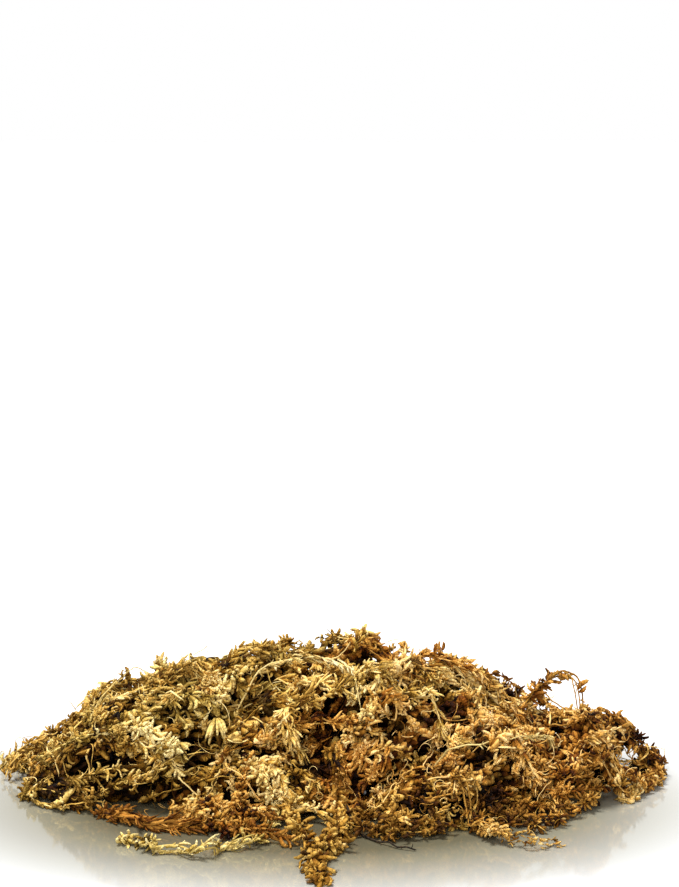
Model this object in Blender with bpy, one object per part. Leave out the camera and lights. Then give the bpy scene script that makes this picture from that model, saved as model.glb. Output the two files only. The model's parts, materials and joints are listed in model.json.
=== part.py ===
"""Sphagnum moss clump: a loose heap of dried long-fibre moss, strand laid over strand.

The heap is laid the way it falls. Each tuft, a matted lock of many moss plants, is draped on
what already lies below it, and the loose strands, bare stems and the twig come last.
Units are metres, +Z is up, and the clump stands on the plane z = 0.
"""

import math
import random

import bmesh
import bpy
import numpy as np

MM = 0.001

# Driving dimensions of the heap in millimetres: its crest line, its outline on the floor,
# and how steeply its sides fall from the crest
CREST_X = [-136, -125, -112, -98, -77, -57, -17, 24, 44, 60, 76, 104, 118, 127, 134]
CREST_Z = [1, 13, 23, 32, 40, 45, 47, 46, 41, 33, 26, 25, 21, 14, 1]
CREST_Y = 6
FRONT_X = [-136, -127, -115, -96, -60, -20, 40, 86, 104, 120, 134]
FRONT_Y = [2, -24, -38, -43, -53, -55, -55, -51, -40, -26, -4]
BACK_X = [-136, -110, -60, 0, 60, 110, 134]
BACK_Y = [20, 40, 55, 58, 52, 42, 14]
SLOPE_POWER = 2.1

# Tufts: how many, their least and greatest sizes in millimetres, their greatest heading from
# the heap's length in degrees, and their bow, ripple and lumps as shares of their size
TUFT_COUNT = 45
TUFT_LENGTH = (50, 96)
TUFT_WIDTH = (17, 29)
TUFT_THICKNESS = (7.0, 10.0)
TUFT_HEADING = 38
TUFT_BOW = 0.16
TUFT_RIPPLE = 0.02
TUFT_LUMPS = 0.13
LUMPS_PER_TUFT = (1.5, 3.0)

# Choice of the next tuft: tries, and what counts against one
SEED = 24
TUFT_TRIES = 220
SEARCH_STEP = 6
SEARCH_FOCUS = 4.0
ALLOWED_EXCESS = 1.0 * MM
EXCESS_COST = 20.0
OUTSIDE_COST = 20.0
HOLLOW_COST = 2.0

# Shape of one tuft or strand
RING_SIDES = 8
RING_SPACING = 9 * MM
LEAST_RINGS = 5
STRAND_RING_SPACING = 6 * MM
LEAST_STRAND_RINGS = 9
TIP_SHARE = 0.025
STRAND_SWELL = 1.15
STRAND_TIP = 0.45

# How a piece comes to rest: the gap it keeps, its sideways tilt, and the grid it is laid on
CLEARANCE = 0.42 * MM
TOUCHING = 0.01 * MM
SETTLING_ROUNDS = 40
STEEPEST_TILT = 0.8
LEAST_TILT = 0.04
ARCH_SHOULDER = 0.8
STEPS_PER_RING = 8
GRID_STEP = 0.5 * MM
GRID_X = (-165 * MM, 165 * MM)
GRID_Y = (-130 * MM, 90 * MM)

# Layers by the height of a tuft's middle in millimetres
LAYERS = ((9, "base_tuft"), (20, "lower_tuft"), (31, "middle_tuft"), (99, "upper_tuft"))

# Colours of dried moss, linear, and the parts of the length where each family shows
STRAW = (0.50, 0.38, 0.13)
OCHRE = (0.40, 0.23, 0.055)
RUST = (0.28, 0.10, 0.022)
BROWN = (0.12, 0.05, 0.016)
OLIVE = (0.25, 0.20, 0.07)
CREAM = (0.62, 0.52, 0.22)
COLOUR_FAMILIES = ((0.38, (STRAW, OLIVE, OCHRE)), (0.62, (OCHRE, STRAW, RUST)), (1.0, (RUST, OCHRE, BROWN)))
ROUGHNESS = 0.92

# Loose pieces on and round the heap: plan points, radius and least arch in millimetres.
# A stiff one spans from end to end in one arch, and the others follow what they lie on.
LOOSE_PIECES = [
    dict(name="arched_strand_right", radius=2.8, stiff=True, arch=13, colour=RUST,
         route=[(70, -6), (78, 4), (89, 8), (99, 4), (104, -6)]),
    dict(name="looped_strand_right_end", radius=3.6, stiff=False, arch=0, colour=BROWN,
         route=[(96, -20), (108, -24), (121, -16), (130, -2), (127, 14)]),
    dict(name="crossing_strand_top_right", radius=3.2, stiff=True, arch=2, colour=RUST,
         route=[(26, 12), (42, 9), (56, 5), (68, 0), (73, -10)]),
    dict(name="crossing_strand_top_left", radius=3.0, stiff=False, arch=0, colour=STRAW,
         route=[(-108, 4), (-88, -6), (-64, -10), (-42, -4), (-24, 6)]),
    dict(name="crossing_strand_centre", radius=3.2, stiff=False, arch=0, colour=OCHRE,
         route=[(-34, -20), (-14, -24), (8, -18), (30, -20), (46, -30)]),
    dict(name="hooked_strand_left_tip", radius=3.0, stiff=True, arch=5, colour=OCHRE,
         route=[(-110, 6), (-121, 6), (-130, 2), (-136, -5)]),
    dict(name="hanging_strand_front", radius=3.3, stiff=False, arch=0, colour=OCHRE,
         route=[(-4, -30), (-1, -44), (0, -58), (-3, -74), (-10, -90), (-7, -103)]),
    dict(name="trailing_strand_front_left", radius=2.9, stiff=False, arch=0, colour=RUST,
         route=[(-93, -42), (-82, -49), (-68, -56), (-53, -57), (-41, -49), (-36, -40)]),
    dict(name="pale_strand_front_left", radius=2.4, stiff=False, arch=0, colour=CREAM,
         route=[(-80, -68), (-66, -76), (-50, -80), (-37, -75), (-29, -63), (-22, -46)]),
    dict(name="trailing_tuft_front_right", radius=4.0, stiff=False, arch=0, colour=BROWN,
         route=[(44, -46), (50, -58), (60, -68), (72, -74), (80, -70)]),
    dict(name="bare_stem_left", radius=0.8, stiff=True, arch=6, colour=STRAW,
         route=[(-100, -20), (-96, -14), (-88, -9), (-76, -8)]),
    dict(name="bare_stem_centre", radius=0.8, stiff=True, arch=1, colour=CREAM,
         route=[(-42, -16), (-28, -12), (-12, -13), (0, -19), (8, -28)]),
    dict(name="bare_stem_right", radius=0.8, stiff=True, arch=5, colour=STRAW,
         route=[(34, -34), (52, -40), (70, -36), (84, -26)]),
    dict(name="dark_twig_front", radius=0.9, stiff=False, arch=0, colour=BROWN,
         route=[(2, -50), (9, -62), (18, -72), (28, -76)]),
]


def crest_height(x):
    """Height of the heap's crest at x."""
    return np.interp(x, np.array(CREST_X) * MM, np.array(CREST_Z) * MM, left=0.0, right=0.0)


def outline(x):
    """Front and back edge of the heap at x."""
    front = np.interp(x, np.array(FRONT_X) * MM, np.array(FRONT_Y) * MM)
    back = np.interp(x, np.array(BACK_X) * MM, np.array(BACK_Y) * MM)
    return front, back


def wanted_height(x, y):
    """Height that the heap should reach over the point x, y of the floor."""
    front, back = outline(x)
    crest = np.clip(CREST_Y * MM, front + MM, back - MM)
    reach = np.where(y < crest, crest - front, back - crest)
    share = np.clip(np.abs(y - crest) / reach, 0.0, 1.0)
    return crest_height(x) * (1.0 - share ** SLOPE_POWER)


class HeapSurface:
    """Top of the moss that has been laid so far, as heights over a grid of the floor."""

    def __init__(self):
        columns = int(round((GRID_X[1] - GRID_X[0]) / GRID_STEP))
        rows = int(round((GRID_Y[1] - GRID_Y[0]) / GRID_STEP))
        self.height = np.zeros((columns, rows))

    def cells(self, x, y):
        """Grid cells that hold the points x, y."""
        column = np.clip(((x - GRID_X[0]) / GRID_STEP).astype(int), 0, self.height.shape[0] - 1)
        row = np.clip(((y - GRID_Y[0]) / GRID_STEP).astype(int), 0, self.height.shape[1] - 1)
        return column, row

    def under(self, x, y):
        """Height of the moss at the points x, y."""
        column, row = self.cells(x, y)
        return self.height[column, row]

    def cover(self, x, y, z):
        """Raise the surface to z at the points x, y."""
        column, row = self.cells(x.ravel(), y.ravel())
        np.maximum.at(self.height, (column, row), z.ravel())


class Strand:
    """A tuft or strand: a plan route with half width, half thickness, tilt and height at each ring."""

    def __init__(self, plan, half_width, half_thickness):
        self.plan = plan
        self.half_width = half_width
        self.half_thickness = half_thickness
        along = np.gradient(plan, axis=0)
        along /= np.linalg.norm(along, axis=1)[:, None]
        self.side = np.stack([-along[:, 1], along[:, 0]], axis=1)
        self.tilt = np.zeros(len(plan))
        self.level = np.zeros(len(plan))

    def spots_between(self, steps, across):
        """Plan spots at even steps between the rings, with what is needed to place a side over them."""
        place = np.linspace(0, len(self.plan) - 1, (len(self.plan) - 1) * steps + 1)
        known = np.arange(len(self.plan))

        def read(values):
            return np.interp(place, known, values)

        reach = self.side * self.half_width[:, None]
        spots_x = read(self.plan[:, 0])[:, None] + read(reach[:, 0])[:, None] * across
        spots_y = read(self.plan[:, 1])[:, None] + read(reach[:, 1])[:, None] * across
        bulge = read(self.half_thickness)[:, None] * np.sqrt(np.clip(1.0 - across ** 2, 0.0, 1.0))
        lean = read(self.half_width * self.tilt)[:, None] * across
        return spots_x, spots_y, bulge, lean, place

    def lean_with(self, surface):
        """Tilt each ring sideways to the slope that it lies on."""
        across = np.linspace(-1.0, 1.0, 9)
        spots_x, spots_y, _, _, _ = self.spots_between(1, across)
        below = surface.under(spots_x, spots_y)
        slope = (below * across).sum(axis=1) / (across ** 2).sum() / self.half_width
        slope = np.clip(slope, -STEEPEST_TILT, STEEPEST_TILT)
        for _ in range(2):
            padded = np.concatenate([slope[:1], slope, slope[-1:]])
            slope = 0.25 * padded[:-2] + 0.5 * padded[1:-1] + 0.25 * padded[2:]
        self.tilt = np.where(np.abs(slope) < LEAST_TILT, 0.0, slope)

    def needed_levels(self, surface):
        """Least height of the strand's middle that clears the surface, at even steps along it."""
        across = np.linspace(-1.0, 1.0, 21)
        spots_x, spots_y, bulge, lean, place = self.spots_between(STEPS_PER_RING, across)
        below = surface.under(spots_x, spots_y)
        needed = np.where(below > 0, below + CLEARANCE + bulge - lean, -1.0).max(axis=1)
        on_floor = flat_share() * (self.half_thickness + np.abs(self.tilt) * self.half_width)
        return needed, on_floor, place

    def raise_clear(self, needed, place):
        """Raise single rings until the strand clears what it lies on all along."""
        known = np.arange(len(self.plan))
        for _ in range(SETTLING_ROUNDS):
            lack = needed - np.interp(place, known, self.level)
            if lack.max() <= TOUCHING:
                break
            for ring in known:
                near = np.clip(1.0 - np.abs(place - ring), 0.0, 1.0)
                self.level[ring] += max(0.0, (lack * near).max())

    def rest_on(self, surface):
        """Let the strand down until it lies on the surface, following its larger humps."""
        self.lean_with(surface)
        needed, on_floor, place = self.needed_levels(surface)
        self.level = np.maximum(needed[::STEPS_PER_RING], on_floor)
        self.raise_clear(needed, place)

    def span_over(self, surface, arch):
        """Set the strand's two ends down and carry it between them in one stiff arch."""
        needed, on_floor, place = self.needed_levels(surface)
        share = place / place[-1]
        ends = np.maximum(needed[[0, -1]], on_floor[[0, -1]])
        chord = ends[0] + (ends[1] - ends[0]) * share
        crown = np.sqrt(4.0 * share * (1.0 - share))
        high = crown > ARCH_SHOULDER
        rise = max(arch, ((needed - chord)[high] / crown[high]).max())
        self.level = (chord + rise * crown)[::STEPS_PER_RING]
        self.raise_clear(needed, place)

    def cover(self, surface):
        """Add the strand's upper side to the surface."""
        across = np.linspace(-1.0, 1.0, 101)
        spots_x, spots_y, bulge, lean, place = self.spots_between(4 * STEPS_PER_RING, across)
        level = np.interp(place, np.arange(len(self.plan)), self.level)
        surface.cover(spots_x, spots_y, level[:, None] + bulge + lean)

    def rings(self):
        """Corner points of each ring, as an array of rings x sides x 3."""
        turn = 2.0 * math.pi * (np.arange(RING_SIDES) + 0.5) / RING_SIDES
        across = np.cos(turn)[None, :] * self.half_width[:, None]
        up = np.sin(turn)[None, :] * self.half_thickness[:, None]
        spots = self.plan[:, None, :] + self.side[:, None, :] * across[:, :, None]
        height = self.level[:, None] + self.tilt[:, None] * across + up
        return np.concatenate([spots, height[:, :, None]], axis=2)


def flat_share():
    """Height of a ring's centre over its flat underside, as a share of the half thickness."""
    return math.cos(math.pi / RING_SIDES)


def taper(count):
    """Share of the full size at each ring, round in the middle and narrow at both tips."""
    place = np.linspace(TIP_SHARE, 1.0 - TIP_SHARE, count)
    return np.sqrt(np.sin(math.pi * place))


def emptiest_spots(surface, count, draw):
    """Middles for the next tries, drawn where the heap lacks most of its wanted height."""
    grid_x = np.arange(CREST_X[0], CREST_X[-1], SEARCH_STEP) * MM
    grid_y = np.arange(min(FRONT_Y), max(BACK_Y), SEARCH_STEP) * MM
    spots_x, spots_y = np.meshgrid(grid_x, grid_y, indexing="ij")
    lack = wanted_height(spots_x, spots_y) - surface.under(spots_x, spots_y)
    weight = np.clip(lack, 0.2 * MM, None).ravel() ** SEARCH_FOCUS
    picks = draw.choices(range(weight.size), weights=weight.tolist(), k=count)
    middles = np.stack([spots_x.ravel()[picks], spots_y.ravel()[picks]], axis=1)
    jitter = [[draw.uniform(-0.5, 0.5), draw.uniform(-0.5, 0.5)] for _ in picks]
    return middles + np.array(jitter) * SEARCH_STEP * MM


def tuft_candidate(middle, draw):
    """A tuft of drawn size, heading and bow over the given middle."""
    length = draw.uniform(*TUFT_LENGTH) * MM
    width = draw.uniform(*TUFT_WIDTH) * MM
    thickness = draw.uniform(*TUFT_THICKNESS) * MM
    heading = math.radians(draw.uniform(-TUFT_HEADING, TUFT_HEADING))
    bow = length * draw.uniform(-TUFT_BOW, TUFT_BOW)
    count = max(LEAST_RINGS, int(round(length / RING_SPACING)) + 1)
    place = np.linspace(-0.5, 0.5, count)
    along = np.array([math.cos(heading), math.sin(heading)])
    side = np.array([-along[1], along[0]])
    ripple = TUFT_RIPPLE * length * np.sin(2.0 * math.pi * (place + draw.random()))
    curl = bow * (1.0 - 4.0 * place ** 2) + ripple
    plan = middle + place[:, None] * length * along + curl[:, None] * side
    lump_turns = place * draw.uniform(*LUMPS_PER_TUFT) + draw.random()
    lumps = 1.0 + TUFT_LUMPS * np.sin(2.0 * math.pi * lump_turns)
    size = taper(count) * lumps
    return Strand(plan, 0.5 * width * size, 0.5 * thickness * size)


def beyond_outline(tuft):
    """How far the tuft's edges stand outside the heap's outline, summed over its rings."""
    total = 0.0
    for sign in (-1.0, 1.0):
        edge = tuft.plan + sign * tuft.side * tuft.half_width[:, None]
        front, back = outline(edge[:, 0])
        total += np.clip(front - edge[:, 1], 0.0, None).sum()
        total += np.clip(edge[:, 1] - back, 0.0, None).sum()
        total += np.clip(CREST_X[0] * MM - edge[:, 0], 0.0, None).sum()
        total += np.clip(edge[:, 0] - CREST_X[-1] * MM, 0.0, None).sum()
    return total


def tuft_score(tuft, surface):
    """How well a tuft fills what the heap lacks, without standing out of its wanted shape."""
    tuft.rest_on(surface)
    wanted = wanted_height(tuft.plan[:, 0], tuft.plan[:, 1])
    filled = surface.under(tuft.plan[:, 0], tuft.plan[:, 1])
    top = tuft.level + tuft.half_thickness
    gain = np.minimum(top, wanted) - filled
    excess = np.clip(top - wanted - ALLOWED_EXCESS, 0.0, None)
    hollow = np.clip(tuft.level - tuft.half_thickness - filled, 0.0, None)
    useful = np.sum((gain - HOLLOW_COST * hollow) * tuft.half_width)
    waste = EXCESS_COST * np.sum(excess) + OUTSIDE_COST * beyond_outline(tuft)
    return float(useful - waste * tuft.half_width.max())


def lay_tufts(surface):
    """Lay the tufts one by one, each the best of several tries, from the floor up."""
    draw = random.Random(SEED)
    tufts = []
    for _ in range(TUFT_COUNT):
        middles = emptiest_spots(surface, TUFT_TRIES, draw)
        tries = [tuft_candidate(middle, draw) for middle in middles]
        scores = [tuft_score(tuft, surface) for tuft in tries]
        best = tries[int(np.argmax(scores))]
        best.rest_on(surface)
        best.cover(surface)
        tufts.append(best)
    return tufts


def smooth_route(points, count):
    """Evenly spaced points on a smooth curve through the hand-chosen ones."""
    known = [2 * points[0] - points[1]] + list(points) + [2 * points[-1] - points[-2]]
    dense = []
    for i in range(1, len(known) - 2):
        before, start, end, after = known[i - 1], known[i], known[i + 1], known[i + 2]
        for t in np.linspace(0.0, 1.0, 20, endpoint=False):
            dense.append(0.5 * (2 * start + (end - before) * t
                                + (2 * before - 5 * start + 4 * end - after) * t ** 2
                                + (3 * start - before - 3 * end + after) * t ** 3))
    dense.append(known[-2])
    dense = np.array(dense)
    run = np.concatenate([[0.0], np.cumsum(np.linalg.norm(np.diff(dense, axis=0), axis=1))])
    even = np.linspace(0.0, run[-1], count)
    return np.stack([np.interp(even, run, dense[:, 0]), np.interp(even, run, dense[:, 1])], axis=1)


def loose_strand(piece, surface):
    """A single strand, stem or twig laid over the heap and the floor."""
    points = [np.array(point, dtype=float) * MM for point in piece["route"]]
    length = sum(np.linalg.norm(b - a) for a, b in zip(points, points[1:]))
    count = max(LEAST_STRAND_RINGS, int(round(length / STRAND_RING_SPACING)))
    size = piece["radius"] * MM * np.clip(taper(count) * STRAND_SWELL, STRAND_TIP, 1.0)
    strand = Strand(smooth_route(points, count), size, size)
    if piece["stiff"]:
        strand.span_over(surface, piece["arch"] * MM)
    else:
        strand.rest_on(surface)
    strand.cover(surface)
    return strand


def moss_material(name, colour):
    """Matt dry moss of one colour."""
    material = bpy.data.materials.new(name)
    material.use_nodes = True
    shader = material.node_tree.nodes["Principled BSDF"]
    shader.inputs["Base Color"].default_value = (*colour, 1.0)
    shader.inputs["Roughness"].default_value = ROUGHNESS
    shader.inputs["Metallic"].default_value = 0.0
    return material


def skin_object(name, rings, material):
    """Closed solid skinned over the rings, with its origin at its middle."""
    middle = rings.reshape(-1, 3).mean(axis=0)
    mesh = bpy.data.meshes.new(name)
    bm = bmesh.new()
    corners = [[bm.verts.new(point - middle) for point in ring] for ring in rings]
    for ring, following in zip(corners, corners[1:]):
        for i in range(RING_SIDES):
            j = (i + 1) % RING_SIDES
            bm.faces.new((ring[i], ring[j], following[j], following[i]))
    bm.faces.new(list(reversed(corners[0])))
    bm.faces.new(corners[-1])
    bmesh.ops.recalc_face_normals(bm, faces=bm.faces)
    bm.to_mesh(mesh)
    bm.free()
    mesh.shade_smooth()
    mesh.set_sharp_from_angle(angle=math.radians(50))
    mesh.materials.append(material)
    obj = bpy.data.objects.new(name, mesh)
    obj.location = middle
    bpy.context.collection.objects.link(obj)
    return obj


def layer_names(tufts):
    """Names for the tufts by the height at which they lie."""
    counts = {}
    names = []
    for tuft in tufts:
        height = tuft.level.mean() / MM
        layer = next(word for limit, word in LAYERS if height < limit)
        counts[layer] = counts.get(layer, 0) + 1
        names.append(f"{layer}_{counts[layer]:02d}")
    return names


def tuft_colour(tuft, draw):
    """Straw and olive on the left, ochre in the middle, rust and brown on the right."""
    share = (tuft.plan[:, 0].mean() / MM - CREST_X[0]) / (CREST_X[-1] - CREST_X[0])
    family = next(colours for limit, colours in COLOUR_FAMILIES if share <= limit)
    base = np.array(draw.choice(family))
    return tuple(base * draw.uniform(0.85, 1.15))


def clear_scene():
    """Remove what the file opened with."""
    for obj in list(bpy.data.objects):
        bpy.data.objects.remove(obj, do_unlink=True)


def laid_pieces():
    """Name, rings and colour of every piece, in the order in which they are laid."""
    surface = HeapSurface()
    tufts = lay_tufts(surface)
    draw = random.Random(SEED + 1)
    pieces = []
    for name, tuft in zip(layer_names(tufts), tufts):
        pieces.append((name, tuft.rings(), tuft_colour(tuft, draw)))
    for piece in LOOSE_PIECES:
        pieces.append((piece["name"], loose_strand(piece, surface).rings(), piece["colour"]))
    return pieces


def bottom_centre(pieces):
    """Middle of the underside of the box round all pieces."""
    corners = np.concatenate([rings.reshape(-1, 3) for _, rings, _ in pieces])
    low, high = corners.min(axis=0), corners.max(axis=0)
    return np.array([(low[0] + high[0]) / 2, (low[1] + high[1]) / 2, low[2]])


def main():
    """Lay the heap, centre it on the origin and build one object for each piece."""
    clear_scene()
    pieces = laid_pieces()
    origin = bottom_centre(pieces)
    for name, rings, colour in pieces:
        skin_object(name, rings - origin, moss_material(name + "_moss", colour))


if __name__ == "__main__":
    main()
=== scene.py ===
"""Sphagnum moss clump: a loose heap of dried long-fibre moss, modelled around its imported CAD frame.

Every CAD tuft and strand is replaced by the moss shoots that run along it. A shoot is a thin stem clothed in
pointed, curved branches. Lengths are in millimetres in the tables and in metres in the meshes.
"""

import json
import math
import zlib

import bmesh
import bpy
import numpy as np
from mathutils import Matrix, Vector


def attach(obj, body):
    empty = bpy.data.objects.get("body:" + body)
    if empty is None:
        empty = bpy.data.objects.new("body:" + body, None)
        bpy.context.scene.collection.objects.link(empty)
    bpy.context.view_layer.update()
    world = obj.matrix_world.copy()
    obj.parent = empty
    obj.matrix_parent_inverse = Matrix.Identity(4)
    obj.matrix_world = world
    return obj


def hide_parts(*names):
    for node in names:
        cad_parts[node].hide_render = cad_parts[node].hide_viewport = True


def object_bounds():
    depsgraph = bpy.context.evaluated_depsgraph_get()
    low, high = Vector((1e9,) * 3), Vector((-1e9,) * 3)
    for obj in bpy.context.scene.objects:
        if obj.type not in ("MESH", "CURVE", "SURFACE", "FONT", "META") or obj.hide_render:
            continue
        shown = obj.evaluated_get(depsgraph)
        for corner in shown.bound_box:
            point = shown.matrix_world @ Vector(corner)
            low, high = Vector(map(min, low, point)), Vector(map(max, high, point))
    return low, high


bl_info = {
    "name": "Sphagnum moss clump",
    "version": (1, 0, 0),
    "blender": (4, 5, 0),
    "location": "View3D > Sidebar > Moss",
    "description": "Models a heap of dried long-fibre moss around its CAD frame, with a floor, lights and camera",
    "category": "Object",
}

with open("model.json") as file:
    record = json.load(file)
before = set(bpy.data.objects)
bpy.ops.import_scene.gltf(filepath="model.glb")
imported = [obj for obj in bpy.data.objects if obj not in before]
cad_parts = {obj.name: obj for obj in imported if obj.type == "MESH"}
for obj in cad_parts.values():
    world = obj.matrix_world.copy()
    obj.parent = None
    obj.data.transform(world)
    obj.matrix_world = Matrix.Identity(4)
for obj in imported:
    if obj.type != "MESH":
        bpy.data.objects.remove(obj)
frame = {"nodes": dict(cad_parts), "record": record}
CAD_LOW, CAD_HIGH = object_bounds()
SLOT_OF = {part["node"]: part["material_slot"] for part in frame["record"]["subparts"]}
MM = 0.001
BODY = "root"

# ------------------------------------------------------------------ reading the CAD frame
RING_CORNERS = 8
LIE_STATIONS = 60


def smooth_through(rows, count):
    """A smooth curve through the rows, read at count even places."""
    padded = np.vstack([2 * rows[0] - rows[1], rows, 2 * rows[-1] - rows[-2]])
    place = np.linspace(0, len(rows) - 1 - 1e-9, count)
    i = place.astype(int)
    f = (place - i)[:, None]
    a, b, c, d = padded[i], padded[i + 1], padded[i + 2], padded[i + 3]
    return 0.5 * (2 * b + (c - a) * f + (2 * a - 5 * b + 4 * c - d) * f**2 + (3 * b - a - 3 * c + d) * f**3)


def corner_rings(name):
    """The rings of eight corners that a CAD piece is made of, from one end to the other."""
    mesh = frame["nodes"][name].data
    spots = np.empty(len(mesh.vertices) * 3)
    mesh.vertices.foreach_get("co", spots)
    corners, index = np.unique(np.round(spots.reshape(-1, 3), 6), axis=0, return_inverse=True)
    used = np.empty(len(mesh.loops), int)
    mesh.loops.foreach_get("vertex_index", used)
    faces = index.ravel()[used].reshape(-1, 3)
    near = [set() for _ in corners]
    for face in faces.tolist():
        for k in face:
            near[k].update(face)
    normals = np.cross(corners[faces[:, 1]] - corners[faces[:, 0]], corners[faces[:, 2]] - corners[faces[:, 0]])
    normals /= np.linalg.norm(normals, axis=1)[:, None] + 1e-15
    for face in faces[np.abs(normals[:, 2]) < 0.02]:
        normal = normals[np.flatnonzero((faces == face).all(1))[0]]
        flat = set(np.flatnonzero(abs((corners - corners[face[0]]) @ normal) < 2e-5).tolist())
        end = set(face.tolist())
        while True:
            more = (set().union(*(near[k] for k in end)) & flat) - end
            if not more:
                break
            end |= more
        if len(end) != RING_CORNERS:
            continue
        rings = [end]
        seen = set(end)
        while True:
            step = set().union(*(near[k] for k in rings[-1])) - seen
            if not step:
                break
            rings.append(step)
            seen |= step
        if len(seen) == len(corners) and all(len(ring) == RING_CORNERS for ring in rings):
            return np.array([corners[sorted(ring)] for ring in rings])
    raise RuntimeError(f"{name}: its rings of corners can't be told apart")


class Lie:
    """How a CAD piece lies: its centre line, and its half width, tilt and half thickness along it."""

    def __init__(self, name):
        rings = corner_rings(name)
        centres = rings.mean(1)
        if name == "hanging_strand_front":
            if centres[0, 2] < centres[-1, 2]:
                rings, centres = rings[::-1], centres[::-1]
        elif centres[0, 0] > centres[-1, 0]:
            rings, centres = rings[::-1], centres[::-1]
        rows = []
        before = None
        for ring, centre in zip(rings, centres):
            flat = (ring - centre)[:, :2]
            apart = flat[:, None] - flat[None]
            far = np.unravel_index(np.argmax((apart**2).sum(-1)), (RING_CORNERS, RING_CORNERS))
            side = apart[far] / (np.linalg.norm(apart[far]) + 1e-12)
            if before is not None and side @ before < 0:
                side = -side
            before = side
            across = flat @ side
            rise = ring[:, 2] - centre[2]
            tilt = (across @ rise) / (across @ across)
            rows.append([*centre, *side, abs(across).max(), tilt, abs(rise - tilt * across).max()])
        rows = smooth_through(np.array(rows), LIE_STATIONS)
        self.name = name
        self.centres = rows[:, :3]
        self.sides = rows[:, 3:5] / np.linalg.norm(rows[:, 3:5], axis=1)[:, None]
        self.half_width = rows[:, 5]
        self.tilt = rows[:, 6]
        self.half_thickness = rows[:, 7]
        self.length = np.linalg.norm(np.diff(self.centres, axis=0), axis=1).sum()

    def at(self, t, a, b):
        """Places inside the piece: t along it, a across it and b through it, from -1 to 1."""
        t, a, b = np.broadcast_arrays(np.asarray(t, float), a, b)
        where = np.clip(t, 0, 1) * (LIE_STATIONS - 1)
        i = np.minimum(where.astype(int), LIE_STATIONS - 2)
        f = where - i

        def mixed(rows):
            return rows[i] * (1 - f) + rows[i + 1] * f

        centre = self.centres[i] * (1 - f)[..., None] + self.centres[i + 1] * f[..., None]
        side = self.sides[i] * (1 - f)[..., None] + self.sides[i + 1] * f[..., None]
        reach = a * mixed(self.half_width)
        out = centre.copy()
        out[..., :2] += side * reach[..., None]
        room = np.sqrt(np.clip(1 - 0.8 * np.clip(a, -1, 1) ** 2, 0.05, 1))
        out[..., 2] += mixed(self.tilt) * reach + b * mixed(self.half_thickness) * room
        return out


LIES = {name: Lie(name) for name in sorted(frame["nodes"])}


# ------------------------------------------------------------------ how deep a spot lies in the heap
CELL = 2.0 * MM
MARGIN = 8 * MM
STEEP_LEAST = 60.0
HOLLOW_GROWTH = 1.15
# Small random pits over the skin: grains near the skin are left out there, and the moss behind gets painted shade.
PIT_SEED = 11
PIT_START = 0.85
PIT_RISE = 0.5
SETTLE_MOST = 1.2 * MM


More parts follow.
